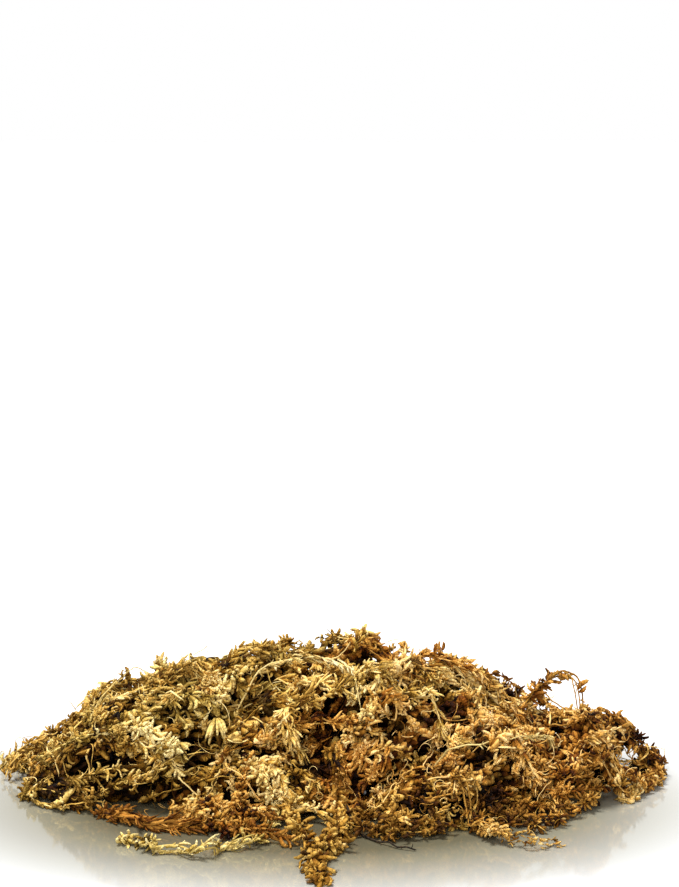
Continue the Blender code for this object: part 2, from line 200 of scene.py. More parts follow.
# Spots where the heap's colour or density changes, in millimetres: x, y, z, reach.
# Tone runs from 0, deep brown, to 1, bleached cream. Warmth runs from -1, olive, to 1, red.
COLOUR_SPOTS = [
    # x, y, z, reach, tone, warmth
    (-68, -9, 28, 9, 0.16, 0.0),
    (-62, -5, 23, 8, 0.16, 0.0),
    (-27, -20, 18, 9, 0.17, -0.1),
    (-22, -24, 12, 8, 0.14, -0.1),
    (-13, -26, 6, 6, 0.06, 0.0),
    (-47, 11, 40, 9, 0.18, 0.1),
    (-46, -2, 28, 8, 0.06, 0.0),
    (-17, -8, 29, 5, 0.06, 0.0),
    (-12, -5, 33, 7, 0.0, 0.4),
    (4, -4, 32, 8, 0.0, 0.4),
    (2, -17, 14, 9, 0.04, 0.35),
    (8, -13, 6, 9, 0.02, 0.35),
    (16, -12, 23, 8, 0.02, 0.35),
    (23, 15, 48, 9, 0.08, -0.1),
    (50, 24, 38, 12, 0.08, -0.1),
    (66, -16, 28, 13, 0.10, 0.35),
    (72, -14, 12, 10, 0.06, 0.2),
    (88, -12, 10, 13, -0.02, 0.80),
    (99, -6, 18, 13, -0.04, 0.80),
    (128, 26, 10, 18, -0.20, 0.75),
    (116, 14, 18, 15, -0.16, 0.65),
    (108, 24, 26, 10, -0.10, 0.60),
    (132, 14, 4, 8, 0.26, -0.70),
    (130, 8, 3, 8, 0.26, -0.60),
    (80, -24, 4, 12, -0.06, 0.30),
    (40, 4, 36, 15, 0.10, -0.55),
    (66, 24, 36, 12, 0.14, -0.90),
    (48, 24, 46, 14, 0.08, -0.60),
    (13, 4, 41, 12, 0.14, -1.00),
    (14, -12, 28, 14, 0.07, -0.30),
    (16, 2, 40, 10, 0.10, -0.50),
    (67, 22, 34, 10, 0.08, -0.30),
    (100, 16, 26, 14, -0.08, 0.50),
    (-80, 14, 42, 16, -0.14, 0.25),
    (-110, 10, 14, 18, -0.10, 0.10),
    (-100, -14, 5, 18, -0.20, 0.10),
    (-116, -6, 5, 14, -0.24, 0.20),
    (-50, -24, 6, 14, 0.05, -0.45),
    (-62, 14, 46, 14, -0.11, 0.25),
    (-62, -18, 10, 12, 0.10, -0.30),
    (-36, -24, 8, 10, 0.10, -0.15),
    (38, -20, 14, 14, -0.13, 0.10),
    (92, -18, 6, 12, 0.15, 0.0),
    (122, 2, 5, 12, 0.18, -0.60),
    (14, -36, 5, 14, -0.26, 0.15),
    (40, -36, 5, 12, -0.24, 0.1),
    (66, -32, 5, 12, -0.26, 0.1),
    (-34, -42, 4, 13, -0.16, 0.0),
    (30, -8, 24, 10, 0.02, -0.25),
    (60, -14, 26, 12, 0.05, -0.20),
    (128, 30, 16, 14, -0.08, 0.30),
    (67, 24, 44, 8, -0.02, 0.15),
    (-100, 2, 20, 22, 0.0, 0.10),
    (-88, -14, 8, 18, -0.04, 0.10),
    (2, 8, 53, 16, 0.0, 0.2),
    (-30, 12, 50, 14, -0.06, 0.2),
    (-13, 10, 51, 10, -0.12, 0.2),
    (14, 14, 51, 9, 0.10, -0.2),
    (62, -18, 14, 9, 0.14, 0.0),
    (-12, -16, 20, 9, 0.08, 0.0),
    (122, 24, 16, 12, -0.08, 0.2),
]
# Dark hollows: grains near the skin are left out there, and the moss behind them gets painted shade.
HOLLOWS = [
    # x, y, z, reach along x, reach along y and z
    (-31, -1, 41, 7, 7),
    (-54, -11, 24, 5, 4),
    (-64, -15, 8, 9, 3.4),
    (-5, -12, 18, 9, 4.5),
    (10, -5, 41, 6, 3),
    (52, 5, 27, 4, 5),
    (62, -26, 10, 4, 4),
    (9, -17, 11, 4, 4),
    (-38, -16, 25, 4, 4),
    (47, 16, 17, 6, 6),
    (89, -12, 13, 4, 3.5),
]

# The gap at the right end that shows the floor behind: a place in it, its direction and its radius.
GAP_PLACE = np.array([118.1, 14.0, 11.3]) * MM
GAP_WAY = np.array([0.1538, 0.9290, -0.3366])
GAP_RADIUS = 4.8 * MM


class Heap:
    """The CAD pieces as small cells, for how much moss lies between a spot and the open air."""

    def __init__(self):
        self.low = np.array(CAD_LOW) - MARGIN
        self.shape = tuple(np.ceil((np.array(CAD_HIGH) + MARGIN - self.low) / CELL).astype(int))
        full = np.zeros(self.shape, bool)
        for name, lie in LIES.items():
            if "_tuft_" not in name or name.startswith("trailing"):
                continue
            steps = max(12, int(lie.length / CELL * 1.5))
            spots = lie.at(*np.meshgrid(np.linspace(0, 1, steps), np.linspace(-1, 1, 19), np.linspace(-1, 1, 9)))
            i = self.cells(spots.reshape(-1, 3))
            full[i[:, 0], i[:, 1], i[:, 2]] = True
        self.full = full
        above = [self.towards(full, step) for step in ((0, 0, 1), (0, -1, 1), (0, 1, 1), (1, 0, 1), (-1, 0, 1))]
        sideways = []
        for axis in (0, 1):
            run = np.cumsum(full, axis=axis)
            sideways += [run, run.max(axis=axis, keepdims=True) - run + full]
        cover = np.minimum.reduce([*above, *sideways]) * CELL
        for axis in range(3):
            cover = (np.roll(cover, 1, axis) + 2 * cover + np.roll(cover, -1, axis)) / 4
        self.cover = cover
        soft = full.astype(float)
        ground = round(-self.low[2] / CELL)
        soft[:, :, :ground] = soft[:, :, ground:2 * ground][:, :, ::-1]
        for _ in range(3):
            for axis in range(3):
                soft = (np.roll(soft, 1, axis) + 2 * soft + np.roll(soft, -1, axis)) / 4
        self.soft = soft
        self.hollow = self.hollows()

    def hollows(self):
        """1 in the middle of a dark hollow or small pit, and 0 outside all of them; there the moss gets painted shade.
        """
        cells = np.indices(self.shape).transpose(1, 2, 3, 0)
        spots = self.low + (cells + 0.5) * CELL
        share = np.zeros(self.shape)
        for x, y, z, wide, high in HOLLOWS:
            reach = np.array([wide, high, high]) * HOLLOW_GROWTH * MM
            apart = (((spots - np.array([x, y, z]) * MM) / reach) ** 2).sum(-1)
            share = np.maximum(share, np.clip(1.6 - apart, 0, 1))
        noise = np.random.default_rng(PIT_SEED).normal(size=self.shape)
        for axis in range(3):
            noise = (np.roll(noise, 1, axis) + 2 * noise + np.roll(noise, -1, axis)) / 4
        noise /= noise.std()
        return np.maximum(share, np.clip((noise - PIT_START) / PIT_RISE, 0, 1))

    def mixed(self, grid, spots):
        """A grid's value at each place, blended between the cells round it."""
        place = (spots - self.low) / CELL - 0.5
        i = np.clip(np.floor(place).astype(int), 0, np.array(self.shape) - 2)
        f = np.clip(place - i, 0, 1)
        low, high = 1 - f, f
        x, y, z = i[..., 0], i[..., 1], i[..., 2]
        out = 0.0
        for a, b, c in np.ndindex(2, 2, 2):
            share = (high if a else low)[..., 0] * (high if b else low)[..., 1] * (high if c else low)[..., 2]
            out = out + share * grid[x + a, y + b, z + c]
        return out

    def fullness(self, spots):
        """How full of moss it is round each place, from 0 in the open to 1 inside the heap."""
        return self.mixed(self.soft, spots)

    def outward(self, spots):
        """The way out of the heap at each place, and how fast it gets emptier that way."""
        slope = np.stack([self.fullness(spots - step) - self.fullness(spots + step) for step in np.eye(3) * CELL], -1)
        steep = np.linalg.norm(slope, axis=-1, keepdims=True)
        return slope / (steep + 1e-9), np.maximum(steep[..., 0] / (2 * CELL), STEEP_LEAST)

    def settle(self, spots, level, rounds=5):
        """Moves places out or in until it is as full round them as level says."""
        for _ in range(rounds):
            out, steep = self.outward(spots)
            off = (self.fullness(spots) - level) / steep
            spots = spots + out * np.clip(off, -SETTLE_MOST, SETTLE_MOST)[..., None]
        return spots

    def cells(self, spots):
        return np.clip(((spots - self.low) / CELL).astype(int), 0, np.array(self.shape) - 1)

    def towards(self, full, step):
        """How many full cells lie between each cell and the open air, looking up along step."""
        out = full.astype(int)
        for k in range(self.shape[2] - 2, -1, -1):
            above = np.roll(out[:, :, k + 1], (-step[0], -step[1]), (0, 1))
            out[:, :, k] += above
        return out

    def depth(self, spots):
        """Metres of moss between each spot and the open air, on the shortest of nine ways out."""
        return self.mixed(self.cover, spots)


HEAP = Heap()

def colour_shifts(spots):
    """Tone and warmth that the colour spots add at each place."""
    tone = np.zeros(len(spots))
    warmth = np.zeros(len(spots))
    for x, y, z, reach, more_tone, more_warmth in COLOUR_SPOTS:
        apart = ((spots - np.array([x, y, z]) * MM) ** 2).sum(1) / (reach * MM) ** 2
        near = np.exp(-apart)
        tone += near * more_tone
        warmth += near * more_warmth
    return tone, warmth


def hollow_share(spots):
    """1 in the middle of a dark hollow, and 0 outside all of them; there the moss gets painted shade."""
    return HEAP.mixed(HEAP.hollow, spots)


def in_gap(spots):
    """True for places in the gap at the heap's right end."""
    apart = spots - GAP_PLACE
    apart = apart - (apart @ GAP_WAY)[:, None] * GAP_WAY
    return np.linalg.norm(apart, axis=1) < GAP_RADIUS


# ------------------------------------------------------------------ the shapes that are copied
class Shape:
    """A mesh as arrays, read from an object that was modelled with Blender's own tools."""

    def __init__(self, name, obj, levels):
        mesh = obj.data
        self.spots = np.empty(len(mesh.vertices) * 3)
        mesh.vertices.foreach_get("co", self.spots)
        self.spots = self.spots.reshape(-1, 3)
        self.level = levels
        self.along = levels / levels.max()
        # Stems start part way along a branch's shading, so they get less of the painted shade at a branch's base.
        if name in RODS:
            self.along = 0.55 + 0.45 * self.along
        self.middles = np.array([self.spots[levels == k].mean(0) for k in range(levels.max() + 1)])[levels]
        self.loops = np.empty(len(mesh.loops), int)
        mesh.loops.foreach_get("vertex_index", self.loops)
        self.starts = np.empty(len(mesh.polygons), int)
        mesh.polygons.foreach_get("loop_start", self.starts)
        self.totals = np.empty(len(mesh.polygons), int)
        mesh.polygons.foreach_get("loop_total", self.totals)
        self.uv = np.empty(len(mesh.loops) * 2)
        mesh.uv_layers.active.data.foreach_get("uv", self.uv)
        self.uv = self.uv.reshape(-1, 2)
        self.triangles = int((self.totals - 2).sum())


SHAPES = {}

# Branches from base to tip: along, bend, half width, half thickness, all in shares of the length.
PLUMP = [(0, 0, 0, 0), (0.05, 0.00, 0.085, 0.075), (0.26, 0.04, 0.135, 0.120), (0.54, 0.07, 0.145, 0.128),
         (0.82, 0.04, 0.120, 0.105), (0.97, -0.01, 0.062, 0.055), (1.0, -0.02, 0, 0)]
CURVED = [(0, 0, 0, 0), (0.07, 0.01, 0.080, 0.070), (0.32, 0.06, 0.125, 0.110), (0.55, 0.17, 0.135, 0.118),
          (0.74, 0.34, 0.110, 0.098), (0.82, 0.48, 0.060, 0.052), (0.83, 0.52, 0, 0)]
HOOKED = [(0, 0, 0, 0), (0.08, 0.00, 0.080, 0.070), (0.36, 0.02, 0.125, 0.108), (0.60, 0.12, 0.132, 0.115),
          (0.71, 0.31, 0.105, 0.092), (0.65, 0.46, 0.058, 0.050), (0.61, 0.50, 0, 0)]
COMMA = [(0, 0, 0, 0), (0.08, 0.03, 0.085, 0.075), (0.29, 0.12, 0.130, 0.112), (0.45, 0.29, 0.140, 0.120),
         (0.47, 0.51, 0.112, 0.098), (0.35, 0.64, 0.060, 0.052), (0.30, 0.66, 0, 0)]
WAVY = [(0, 0, 0, 0), (0.08, 0.05, 0.075, 0.065), (0.30, 0.13, 0.110, 0.098), (0.53, 0.06, 0.118, 0.104),
        (0.75, -0.07, 0.100, 0.088), (0.93, -0.06, 0.055, 0.048), (0.99, -0.02, 0, 0)]
CROOKED = [(0, 0, 0, 0), (0.08, -0.04, 0.070, 0.062), (0.30, -0.12, 0.105, 0.092), (0.54, -0.02, 0.112, 0.098),
           (0.70, 0.19, 0.098, 0.086), (0.87, 0.33, 0.052, 0.046), (0.92, 0.35, 0, 0)]
SLENDER = [(0, 0, 0, 0), (0.06, -0.01, 0.042, 0.038), (0.30, 0.03, 0.078, 0.068), (0.58, 0.09, 0.084, 0.074),
           (0.84, 0.13, 0.066, 0.058), (0.98, 0.12, 0.034, 0.030), (1.0, 0.11, 0, 0)]
LEAFY = [(0, 0, 0, 0), (0.08, 0.02, 0.110, 0.045), (0.30, 0.08, 0.220, 0.060), (0.56, 0.11, 0.250, 0.060),
         (0.80, 0.06, 0.190, 0.050), (0.96, -0.04, 0.090, 0.035), (1.0, -0.07, 0, 0)]
BUD = [(0, 0, 0, 0), (0.16, 0.02, 0.170, 0.150), (0.50, 0.07, 0.240, 0.210), (0.86, 0.08, 0.150, 0.130),
       (1.0, 0.06, 0, 0)]
COARSE = [(0, 0, 0, 0), (0.14, 0.02, 0.120, 0.105), (0.52, 0.12, 0.150, 0.130), (0.80, 0.32, 0.110, 0.095),
          (0.88, 0.44, 0, 0)]
COARSE_STRAIGHT = [(0, 0, 0, 0), (0.14, 0.00, 0.115, 0.100), (0.52, 0.05, 0.145, 0.125), (0.88, 0.02, 0.100, 0.090),
                   (1.0, 0.0, 0, 0)]
GRAINS = {"plump": (PLUMP, 3), "curved": (CURVED, 3), "hooked": (HOOKED, 3), "comma": (COMMA, 3), "wavy": (WAVY, 3),
          "crooked": (CROOKED, 3), "slender": (SLENDER, 3), "leafy": (LEAFY, 4), "bud": (BUD, 4),
          "coarse": (COARSE, 3), "coarse_straight": (COARSE_STRAIGHT, 3)}
RODS = {"stem": (13, 3), "thread": (13, 3), "smooth_stem": (40, 6)}


THREE_SIDED_WIDTH = 1.14


def ringed_start(name, rings, sides):
    """A round primitive with one level of corners for each ring, and the numbers of its corners by level."""
    bpy.ops.object.select_all(action="DESELECT")
    bpy.ops.mesh.primitive_uv_sphere_add(segments=sides, ring_count=rings - 1, radius=1.0, calc_uvs=True)
    obj = bpy.context.object
    obj.name = name
    heights = np.array([v.co.z for v in obj.data.vertices])
    steps = np.unique(np.round(heights, 5))
    levels = np.argmin(abs(heights[:, None] - steps[None]), axis=1)
    return obj, levels


def place_ring(obj, levels, level, move, sizes, tilt):
    """Selects one level of corners, then resizes, moves and tilts it in edit mode."""
    mesh = bmesh.from_edit_mesh(obj.data)
    mesh.verts.ensure_lookup_table()
    for vertex in mesh.verts:
        vertex.select_set(bool(levels[vertex.index] == level))
    mesh.select_flush(True)
    spots = np.array([mesh.verts[int(k)].co for k in np.flatnonzero(levels == level)])
    centre = spots.mean(0)
    wide = float(abs(spots[:, :2] - centre[:2]).max())
    bmesh.update_edit_mesh(obj.data)
    if wide > 1e-4:
        bpy.ops.transform.resize(value=(sizes[0] / wide, sizes[1] / wide, 1), center_override=tuple(centre))
    bpy.ops.transform.translate(value=(move[0] - centre[0], move[1] - centre[1], move[2] - centre[2]))
    if wide > 1e-4 and tilt:
        bpy.ops.transform.rotate(value=-tilt, orient_axis="Y", center_override=move)


def model_ringed(name, places, sides):
    """Models one shape from a round primitive, ring by ring, and keeps it as arrays."""
    obj, levels = ringed_start(name, len(places), sides)
    bpy.ops.object.mode_set(mode="EDIT")
    for level, (along, bend, wide, thick) in enumerate(places):
        before, after = places[max(level - 1, 0)], places[min(level + 1, len(places) - 1)]
        tilt = math.atan2(after[1] - before[1], after[0] - before[0])
        fuller = THREE_SIDED_WIDTH if sides == 3 else 1.0
        place_ring(obj, levels, level, (bend, 0, along), (thick * fuller, wide * fuller), tilt)
    bpy.ops.mesh.select_all(action="SELECT")
    bpy.ops.mesh.normals_make_consistent(inside=False)
    bpy.ops.object.mode_set(mode="OBJECT")
    SHAPES[name] = Shape(name, obj, levels)
    bpy.ops.object.delete()


def model_shapes():
    """The branches, and the rods that stems and fibres are bent from."""
    for name, (places, sides) in GRAINS.items():
        model_ringed(name, places, sides)
    for name, (rings, sides) in RODS.items():
        places = [(k, 0, 0 if k in (0, rings - 1) else 1, 0 if k in (0, rings - 1) else 1) for k in range(rings)]
        model_ringed(name, places, sides)


# ------------------------------------------------------------------ copies, gathered into one mesh a piece
LOWEST = 0.25 * MM


class Pile:
    """Copies of the shapes for one piece, each with its place, tone, warmth and painted shade."""

    def __init__(self, name):
        self.name = name
        self.chance = np.random.default_rng(zlib.crc32(name.encode()))
        self.groups = []

    def add(self, shape, spots, tone, warmth, shade, tip_shade=None):
        if len(spots):
            tip_shade = shade if tip_shade is None else tip_shade
            spots[..., 2] = np.where(spots[..., 2] < LOWEST, LOWEST + 0.08 * (spots[..., 2] - LOWEST), spots[..., 2])
            spots[..., 2] = np.maximum(spots[..., 2], 0.05 * MM)
            self.groups.append((shape, spots, tone, warmth, shade, tip_shade))

    def triangles(self):
        return sum(shape.triangles * len(spots) for shape, spots, *_ in self.groups)

    def model(self):
        """One object of all the copies, with an even chart in which each copy has its own cell."""
        count = sum(len(group[1]) for group in self.groups)
        side = math.ceil(math.sqrt(count))
        spots, looks, alongs, loops, totals, charts = [], [], [], [], [], []
        base = 0
        number = 0
        for shape, places, tone, warmth, shade, tip_shade in self.groups:
            copies, corners = places.shape[:2]
            spots.append(places.reshape(-1, 3))
            # The painted shade runs from each branch's base to its tip.
            shades = shade[:, None] + (tip_shade - shade)[:, None] * shape.along[None]
            looks.append(np.column_stack([np.repeat(tone, corners), np.repeat(warmth, corners), shades.ravel()]))
            alongs.append(np.tile(shape.along, copies))
            first = base + np.arange(copies) * corners
            loops.append((shape.loops[None] + first[:, None]).ravel())
            totals.append(np.tile(shape.totals, copies))
            cell = number + np.arange(copies)
            corner = np.stack([cell % side, cell // side], axis=1)
            charts.append(((shape.uv[None] * 0.86 + 0.07 + corner[:, None]) / side).reshape(-1, 2))
            base += copies * corners
            number += copies
        spots, loops, totals = np.concatenate(spots), np.concatenate(loops), np.concatenate(totals)
        mesh = bpy.data.meshes.new(self.name)
        mesh.vertices.add(len(spots))
        mesh.vertices.foreach_set("co", spots.ravel())
        mesh.loops.add(len(loops))
        mesh.loops.foreach_set("vertex_index", loops)
        mesh.polygons.add(len(totals))
        mesh.polygons.foreach_set("loop_start", np.concatenate([[0], np.cumsum(totals)[:-1]]))
        mesh.polygons.foreach_set("loop_total", totals)
        mesh.polygons.foreach_set("use_smooth", np.ones(len(totals), bool))
        chart = mesh.uv_layers.new(name="OFBake")
        chart.data.foreach_set("uv", np.concatenate(charts).ravel())
        # Tone, warmth and painted shade of each corner.
        look = mesh.attributes.new("moss_tone_and_painted_shade", "FLOAT_VECTOR", "POINT")
        look.data.foreach_set("vector", np.concatenate(looks).ravel())
        along = mesh.attributes.new("along", "FLOAT", "POINT")
        along.data.foreach_set("value", np.concatenate(alongs))
        mesh.update(calc_edges=True)
        mesh.validate()
        obj = bpy.data.objects.new(self.name + "_moss", mesh)
        bpy.context.scene.collection.objects.link(obj)
        return obj


# ------------------------------------------------------------------ growing shoots
GOLDEN_TURN = math.radians(137.5)
CLUSTER_FAN = 0.36
HUG = 0.65
BRANCH_LENGTH = 0.86
BRANCH_WIDTH = 0.82
SHALLOW = 2.6 * MM
DEEP = 6.0 * MM
DEEP_SHARE = 0.22
HOLLOW_BACK = 4.0 * MM
COARSE_LENGTH = 1.15
COARSE_WIDTH = 1.60
# The branches are finer at the ends of the heap: x in millimetres and size there.
FINE_PLACES = [-115, -85, 25, 58]
FINE_SIZES = [0.86, 1.0, 1.0, 0.80]
FINE_SIMPLE = 0.45
# Where the painted shade starts below the heap's skin, and how much deeper it is darkest.
SHADE_START = 0.9 * MM
SHADE_REACH = 4.6 * MM
PATH_POINTS = 24


# What a usual branch, stem and thread measure: the panel's sizes are against these.
USUAL_LENGTH = 5.5 * MM
USUAL_THICKNESS = 1.5 * MM
USUAL_STEM = 0.7 * MM
USUAL_THREAD = 0.3 * MM


def unit(rows):
    return rows / (np.linalg.norm(rows, axis=-1, keepdims=True) + 1e-12)


def fineness(x):
    """The size of the branches at places along the heap."""
    return np.interp(x / MM, FINE_PLACES, FINE_SIZES)


def shade_at(spots):
    """Painted shade: 1 in the open, falling to a dark value deep inside the heap and in its hollows, where the moss
    lies in shade.
    """
    deep = np.clip((HEAP.depth(spots) - SHADE_START) / SHADE_REACH, 0, 1)
    shade = 1 - 0.95 * deep * deep * (3 - 2 * deep)
    return shade * (1 - 0.95 * np.clip(1.3 * hollow_share(spots), 0, 1))


def wander(chance, t, waves, size, rows=1):
    """Rows of smooth random waves along t, each with about that many waves in its length."""
    out = np.zeros((rows, len(t)))
    for k in (0.5, 1.0, 2.1):
        swing = math.exp(-0.4 * k) * chance.normal(size=(rows, 1))
        out += swing * np.sin(math.tau * (waves * k * t + chance.random((rows, 1))))
    return out * size


def read_paths(paths, place):
    """Places on each path: place is in steps along it."""
    place = np.clip(place, 0, paths.shape[1] - 1 - 1e-6)
    i = place.astype(int)
    f = (place - i)[..., None]
    rows = np.arange(len(paths))[:, None]
    return paths[rows, i] * (1 - f) + paths[rows, i + 1] * f


def skin_walks(chance, starts, headings, turning, level, length):
    """Paths that wander over the heap's skin: turning is in radians a metre, level how full it is there."""
    count = len(starts)
    steps = np.linspace(0, 1, PATH_POINTS)
    turns = turning[:, None] + wander(chance, steps, 1.2, 60.0, count)
    levels = level[:, None] + wander(chance, steps, 1.6, 0.07, count)
    step = (length / PATH_POINTS)[:, None]
    spots = HEAP.settle(starts, levels[:, 0])
    rows = [spots]
    for k in range(1, PATH_POINTS):
        out, steep = HEAP.outward(spots)
        headings = unit(headings - (headings * out).sum(1)[:, None] * out)
        turn = (turns[:, k] * step[:, 0])[:, None]
        headings = headings * np.cos(turn) + np.cross(out, headings) * np.sin(turn)
        spots = spots + headings * step
        off = (HEAP.fullness(spots) - levels[:, k]) / steep
        spots = spots + out * np.clip(off, -0.8 * MM, 0.8 * MM)[:, None]
        spots[:, 2] = np.maximum(spots[:, 2], 1.3 * MM)
        rows.append(spots)
    return np.stack(rows, axis=1)


def bend_rods(shape, paths, radii):
    """Copies of a rod, each bent along its own path. paths is copies x points x 3, radii is copies x points."""
    points = int(shape.level.max()) + 1
    place = np.tile(np.linspace(0, paths.shape[1] - 1, points), (len(paths), 1))
    spots = read_paths(paths, place)
    thick = read_paths(radii[..., None], place)[..., 0]
    ahead = unit(np.gradient(spots, axis=1))
    out = unit(np.cross(ahead, np.array([0.31, 0.22, 0.93])))
    up = np.cross(out, ahead)
    level = shape.level
    section = shape.spots[:, :2]
    return (spots[:, level] + thick[:, level, None]
            * (out[:, level] * section[None, :, :1] + up[:, level] * section[None, :, 1:2]))


def add_rods(pile, shape_name, paths, radius, tone, warmth, taper=0.35):
    """Stems or threads along the paths. radius, tone and warmth are one number for each path."""
    shape = SHAPES[shape_name]
    sizes = bpy.context.scene.moss_sizes
    if shape_name == "thread":
        thicker = sizes.thread_thickness / USUAL_THREAD
    else:
        thicker = sizes.stem_thickness / USUAL_STEM
    along = np.linspace(0, 1, paths.shape[1])
    spots = bend_rods(shape, paths, thicker * np.asarray(radius)[:, None] * (1 - taper * along))
    middle = paths[:, paths.shape[1] // 2]
    more_tone, more_warmth = colour_shifts(middle)
    # The stem's painted shade runs from its first point to its last.
    pile.add(shape, spots, np.clip(tone + 0.4 * more_tone, 0, 1), np.clip(warmth + 0.4 * more_warmth, -1, 1),
             shade_at(paths[:, 0]), shade_at(paths[:, -1]))


def add_grains(pile, bases, heads, leans, lengths, widths, kinds, tone, warmth, thin=True):
    """Branch copies: heads are their directions, leans the side that they bend to."""
    chance = pile.chance
    count = len(bases)
    sizes = bpy.context.scene.moss_sizes
    lengths = lengths * sizes.branch_length / USUAL_LENGTH
    widths = widths * sizes.branch_thickness / USUAL_THICKNESS * USUAL_LENGTH / sizes.branch_length
    heads = unit(heads)
    middles = bases + heads * lengths[:, None] * 0.5
    deep = HEAP.depth(middles)
    keep = np.ones(count, bool)
    if thin:
        keep = chance.random(count) < np.interp(deep, [SHALLOW, DEEP], [1.0, DEEP_SHARE])
        keep &= (hollow_share(middles) < 0.5) | (deep > HOLLOW_BACK)
    keep &= ~in_gap(middles)
    more_tone, more_warmth = colour_shifts(bases)
    tone = np.clip(tone + more_tone, 0, 1)
    warmth = np.clip(warmth + more_warmth, -1, 1)
    # Painted shade at the base and at the tip of each branch, never darker at the tip than at the base.
    shade = shade_at(bases)
    tip_shade = np.maximum(shade_at(bases + heads * lengths[:, None]), shade)
    leans = unit(leans - (leans * heads).sum(1)[:, None] * heads)
    across = np.cross(heads, leans)
    pick = chance.integers(0, len(kinds), count)
    rough = deep > SHALLOW if thin else np.zeros(count, bool)
    fine = fineness(bases[:, 0])
    lengths = np.where(rough, lengths * COARSE_LENGTH, lengths * fine)
    widths = np.where(rough, widths * COARSE_WIDTH, widths)
    rough |= (fine < 0.9) & (chance.random(count) < FINE_SIMPLE)
    for k, kind in enumerate([*kinds, "coarse", "coarse_straight"]):
        if k < len(kinds):
            mine = keep & ~rough & (pick == k)
        else:
            mine = keep & rough & (pick % 2 == k - len(kinds))
        if not mine.any():
            continue
        shape = SHAPES[kind]
        turn = np.stack([leans[mine] * lengths[mine, None], across[mine] * lengths[mine, None],
                         heads[mine] * lengths[mine, None]], axis=2)
        middle = shape.middles[None]
        local = middle + (shape.spots[None] - middle) * widths[mine, None, None]
        spots = np.einsum("nij,nvj->nvi", turn, local) + bases[mine][:, None]
        pile.add(shape, spots, tone[mine], warmth[mine], shade[mine], tip_shade[mine])


class Habit:
    """How a shoot is clothed: spacing and length in mm, spread in degrees, width as a factor."""

    def __init__(self, spacing, count, spread, vary, length, width, outward, kinds, stem=0.45):
        self.spacing = spacing * MM
        self.count = count
        self.spread = math.radians(spread)
        self.vary = math.radians(vary)
        self.length = length * BRANCH_LENGTH * MM
        self.width = width * BRANCH_WIDTH / BRANCH_LENGTH
        self.outward = outward
        self.kinds = kinds
        self.stem = stem * MM


HABITS = {
    "rope": Habit(1.9, 3, 17, 9, 6.2, 1.0, 0.3, ["plump", "wavy", "curved", "crooked", "comma"], 0.3),
    "plump": Habit(1.9, 3, 30, 15, 5.4, 1.15, 0.3, ["plump", "curved", "hooked", "comma", "comma"], 0.3),
    "worms": Habit(1.9, 3, 32, 18, 7.0, 0.95, 0.4, ["crooked", "wavy", "hooked", "comma", "curved"], 0.3),
    "curled": Habit(1.8, 3, 48, 22, 5.4, 1.05, 0.2, ["hooked", "comma", "comma", "curved"], 0.3),
    "stringy": Habit(2.1, 3, 11, 7, 8.0, 0.90, 0.3, ["slender", "wavy", "crooked", "slender"], 0.3),
    "leafy": Habit(1.7, 3, 34, 20, 6.2, 1.05, 0.4, ["leafy", "plump", "leafy", "curved"], 0.3),
    "scant": Habit(4.0, 2, 40, 22, 4.6, 0.90, 0.5, ["curved", "slender", "hooked"], 0.35),
    "twisted": Habit(1.3, 3, 10, 6, 5.6, 1.0, 0.3, ["wavy", "plump", "crooked"], 0.6),
    "crinkled": Habit(1.7, 2, 26, 26, 4.6, 1.0, 0.3, ["crooked", "wavy", "comma", "hooked"], 0.4),
    "sheath": Habit(1.5, 3, 4, 2, 8.0, 0.70, 0.1, ["slender", "wavy", "slender"], 0.9),
    "spiky": Habit(2.4, 3, 46, 20, 4.4, 0.95, 0.7, ["slender", "curved", "leafy"], 0.4),
}


